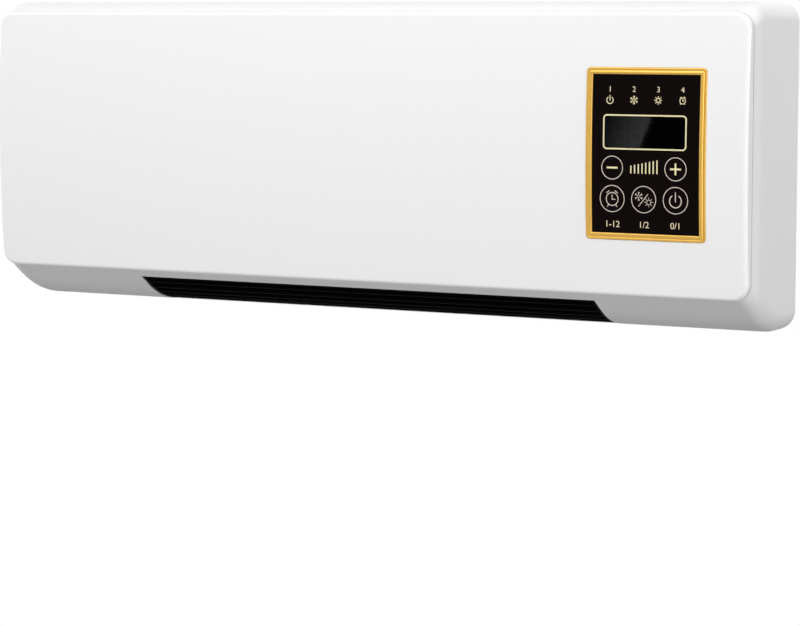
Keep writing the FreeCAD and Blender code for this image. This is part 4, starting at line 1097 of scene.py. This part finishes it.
    def digit_segments(self) -> list[tuple[Point, Point]]:
        """The segments of a digit: three level ones and four upright ones.

        Returns:
            The ends of each, from the digit's middle.
        """
        half, side, gap = self.digit_height / 2, self.digit_width / 2, self.segment_gap
        level = [((gap - side, up), (side - gap, up)) for up in (-half, 0.0, half)]
        places = [(edge, low) for edge in (-side, side) for low in (-half, 0.0)]
        return level + [((edge, low + gap), (edge, low + half - gap)) for edge, low in places]

    def build_segments(self) -> None:
        """Lays the unlit display segments in the window."""
        middle_x, middle_y = self.spot("display_window")[0]
        strokes: list[Stroke] = []
        for number in range(self.digits):
            x = middle_x + (number - (self.digits - 1) / 2) * self.digit_pitch
            for ends in self.digit_segments():
                points = [(x + right, middle_y + up) for right, up in ends]
                strokes.append((points, self.segment_line, False))
        mesh = self.front.print_mesh(strokes, "display_segments", self.segment_film)
        self.place(mesh, SEGMENT_GREY, SLOT_OF_NODE["display_window"])

    def build_keys(self) -> None:
        """Dresses the keys and prints a ring and a sign on each."""
        for node, ink, signs in self.key_signs:
            body = self.skin(node, FASCIA_BLACK)["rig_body"]
            centre, half = self.spot(node)
            ring = (circle(half[0] - self.ring_inset, centre), self.ring_line, True)
            self.print_on([ring], node + "_ring", INK_GREY, body)
            strokes = [stroke for sign in signs for stroke in sign.strokes(centre)]
            self.print_on(strokes, node + "_sign", ink, body)

    def build(self) -> None:
        """Builds the whole panel."""
        self.build_frame()
        self.skin("control_fascia", FASCIA_BLACK)
        self.skin("display_window", WINDOW_SMOKE)
        self.skin("indicator_lenses", FASCIA_BLACK)
        self.build_indicators()
        self.build_print()
        self.build_segments()
        self.build_keys()
        self.dress(BOARD_GREEN, "control_board")
        self.dress(STEEL_ZINC, "control_board_screws")
        self.dress(PBT_BLACK, "key_switches", "display_module", "infrared_receiver", "buzzer")
        self.dress(PBT_IVORY, "indicator_leds")


@dataclass
class AirMover(SubAssembly):
    """The cross-flow wheel with its motor and duct."""

    def build(self) -> None:
        """Dresses the wheel, the motor and the duct."""
        self.skin("fan_wheel", PBT_BLACK)
        self.dress(
            STEEL_ZINC, "pivot_pin", "duct_end_left", "duct_end_right", "duct_screws", "fan_scroll",
            "fan_tongue", "motor_shaft", "motor_bracket_front", "motor_bracket_rear", "motor_spacers",
            "motor_screws",
        )
        self.dress(BRONZE, "end_bearing", "motor_bearings")
        self.dress(RUBBER_BLACK, "bearing_mount")
        self.dress(STEEL_STACK, "motor_stator")
        self.dress(COPPER_WINDING, "motor_coil")
        self.dress(ALUMINIUM, "motor_rotor")


@dataclass
class HeatingElement(SubAssembly):
    """The ceramic element with its holders and safety devices."""

    def build(self) -> None:
        """Dresses the element."""
        self.dress(ALUMINIUM, "element_tubes", "element_fins")
        self.dress(CERAMIC, "ceramic_tiles")
        self.dress(PBT_IVORY, "element_holder_left", "element_holder_right", "thermal_fuse")
        self.dress(STEEL_ZINC, "element_terminals")
        self.dress(PBT_BLACK, "thermal_cutout")


@dataclass
class PowerBoard(SubAssembly):
    """The power board with what stands on it."""

    def build(self) -> None:
        """Dresses the board."""
        self.dress(BOARD_GREEN, "power_board")
        self.dress(STEEL_ZINC, "power_board_screws")
        self.dress(PBT_BLUE, "relays", "filter_capacitor")
        self.dress(STEEL_STACK, "transformer")
        self.dress(PBT_IVORY, "terminal_block")


@dataclass
class Lamp:
    """A soft studio lamp that points at a place. Sizes in metres, power in watts."""

    name: str
    place: Place
    target: Place
    power: float
    width: float
    height: float
    in_gloss: bool = True

    def build(self) -> None:
        """Hangs the lamp."""
        light = bpy.data.lights.new(self.name, "AREA")
        light.shape = "RECTANGLE"
        light.size = self.width
        light.size_y = self.height
        light.energy = self.power
        lamp = put(self.name, light)
        lamp.location = self.place
        lamp.visible_glossy = self.in_gloss
        lamp.rotation_mode = "QUATERNION"
        lamp.rotation_quaternion = (Vector(self.target) - Vector(self.place)).to_track_quat("-Z", "Y")


@dataclass
class Studio:
    """The floor, the soft light and the camera. Sizes in metres, the lens in millimetres."""

    camera_place: Place = (0.8612, -1.5599, 0.0408)
    camera_yaw: float = math.radians(28.96)
    camera_pitch: float = math.radians(6.03)
    lens_mm: float = 127.53
    floor_z: float = -0.8
    floor_half: float = 12.0
    # What the floor throws back on the object; in gloss it is white
    floor_colour: str = "#444444"
    ambient: float = 0.3
    # The card that the window mirrors: its outline across and up, and the lean of its strip of light, which
    # grows from the least level at its start to full white at its end and then stops
    card_y: float = -1.9
    card_outline: tuple[Point, ...] = ((-0.79, -0.6), (-0.3, -0.6), (-0.3, 0.5), (-0.656, 0.5))
    card_lean: float = 0.148
    sheen_start: float = -0.6625
    sheen_end: float = -0.6079
    sheen_least: float = 0.16
    lamps: tuple[Lamp, ...] = (
        Lamp("front_softbox", (-0.1, -1.9, 1.25), (0.0, -0.05, -0.04), 13.0, 2.4, 0.9),
        Lamp("side_softbox", (2.4, -0.35, 0.15), (0.26, -0.03, -0.05), 22.5, 1.0, 1.0),
        Lamp("fill_softbox", (0.1, -2.3, -0.45), (0.0, -0.05, -0.06), 24.0, 0.9, 0.6, in_gloss=False),
        Lamp("top_softbox", (0.0, -0.4, 1.5), (0.0, -0.05, 0.0), 12.0, 1.6, 0.8),
        Lamp("left_softbox", (-2.4, 0.1, 0.1), (-0.26, -0.03, -0.05), 12.0, 0.6, 0.8),
        Lamp("back_softbox", (0.0, 2.4, 0.3), (0.0, 0.0, -0.05), 16.0, 1.6, 0.8),
    )

    def white_to_look_at(self, tree: NodeTree, lit: NodeSocket, white_kind: str, output_kind: str) -> None:
        """Ends a tree: white for rays from the camera, from gloss and through glass, and for others as lit.

        Args:
            tree: the tree of a material or a world.
            lit: the shader for the rays that light the object.
            white_kind: the type of the shader that gives the white.
            output_kind: the type of the tree's output.
        """
        path = add_node(tree, "ShaderNodeLightPath")
        seen = path.outputs["Is Camera Ray"]
        for name in ("Is Glossy Ray", "Is Transmission Ray"):
            either = {0: seen, 1: path.outputs[name]}
            seen = add_node(tree, "ShaderNodeMath", {"operation": "MAXIMUM"}, either).outputs[0]
        white = add_node(tree, white_kind, None, {"Color": linear(WHITE), "Strength": 1.0})
        mixed = add_node(tree, "ShaderNodeMixShader", None, {0: seen, 1: lit, 2: white.outputs[0]})
        add_node(tree, output_kind, None, {"Surface": mixed.outputs[0]})

    def build_world(self) -> None:
        """Makes the surroundings white to look at and a plain even light on the object."""
        world = bpy.data.worlds.new("studio_white")
        tree = blank_tree(world)
        even = {"Color": linear(WHITE), "Strength": self.ambient}
        light = add_node(tree, "ShaderNodeBackground", None, even)
        self.white_to_look_at(tree, light.outputs[0], "ShaderNodeBackground", "ShaderNodeOutputWorld")
        bpy.context.scene.world = world

    def sheet(self, name: str, corners: Sequence[Place], material: Material) -> Object:
        """Sets up a flat sheet of the studio, which the camera itself doesn't see.

        Args:
            name: the sheet's name.
            corners: its corners in order.
            material: its material.

        Returns:
            The sheet.
        """
        mesh = bpy.data.meshes.new(name)
        mesh.from_pydata(corners, [], [list(range(len(corners)))])
        mesh.materials.append(material)
        sheet = put(name, mesh)
        sheet.visible_camera = False
        return sheet

    def build_floor(self) -> None:
        """Lays the floor well below the heater: white in gloss, darker to the light on the heater."""
        material = bpy.data.materials.new("Matt_white_paper")
        tree = blank_tree(material)
        paper = add_node(tree, "ShaderNodeBsdfDiffuse", None, {"Color": linear(self.floor_colour)})
        self.white_to_look_at(tree, paper.outputs[0], "ShaderNodeEmission", "ShaderNodeOutputMaterial")
        half = self.floor_half
        corners = [(side * half, level * half, self.floor_z) for side, level, _ in CORNERS]
        self.sheet("studio_floor", corners, material)

    def build_card(self) -> None:
        """Hangs the card that the window mirrors, seen in gloss only: a graded strip of light, then black."""
        material = bpy.data.materials.new("Graded_card")
        tree = blank_tree(material)
        way = {0: add_node(tree, "ShaderNodeTexCoord").outputs["Object"], 1: (1.0, 0.0, -self.card_lean)}
        across = add_node(tree, "ShaderNodeVectorMath", {"operation": "DOT_PRODUCT"}, way).outputs["Value"]
        grade = add_node(tree, "ShaderNodeMapRange", None, {
            "Value": across, "From Min": self.sheen_start, "From Max": self.sheen_end,
            "To Min": self.sheen_least,
        })
        lit = add_node(tree, "ShaderNodeMath", {"operation": "LESS_THAN"}, {0: across, 1: self.sheen_end})
        both = {0: grade.outputs["Result"], 1: lit.outputs[0]}
        level = add_node(tree, "ShaderNodeMath", {"operation": "MULTIPLY"}, both).outputs[0]
        glow = add_node(tree, "ShaderNodeEmission", None, {"Color": linear(WHITE), "Strength": level})
        add_node(tree, "ShaderNodeOutputMaterial", None, {"Surface": glow.outputs[0]})
        card = self.sheet("studio_card", [(x, self.card_y, z) for x, z in self.card_outline], material)
        card.visible_diffuse = False
        card.visible_shadow = False

    def build_camera(self) -> None:
        """Sets the camera at the photograph's viewing angle."""
        data = bpy.data.cameras.new("studio_camera")
        data.lens = self.lens_mm
        camera = put("studio_camera", data)
        camera.location = self.camera_place
        camera.rotation_euler = (math.pi / 2 - self.camera_pitch, 0.0, self.camera_yaw)
        bpy.context.scene.camera = camera

    def build(self) -> None:
        """Builds the whole studio."""
        bpy.context.scene.view_settings.view_transform = "Standard"
        self.build_world()
        self.build_floor()
        self.build_card()
        self.build_camera()
        for lamp in self.lamps:
            lamp.build()


def main() -> None:
    """Builds the heater's looks and the studio round it."""
    logging.basicConfig(level=logging.INFO, format="%(name)s: %(message)s")
    for part in (Casing(), OutletGrille(), ControlPanel(), AirMover(), HeatingElement(), PowerBoard()):
        part.build()
        LOG.info("%s is dressed", type(part).__name__)
    Studio().build()


if __name__ == "__main__":
    main()
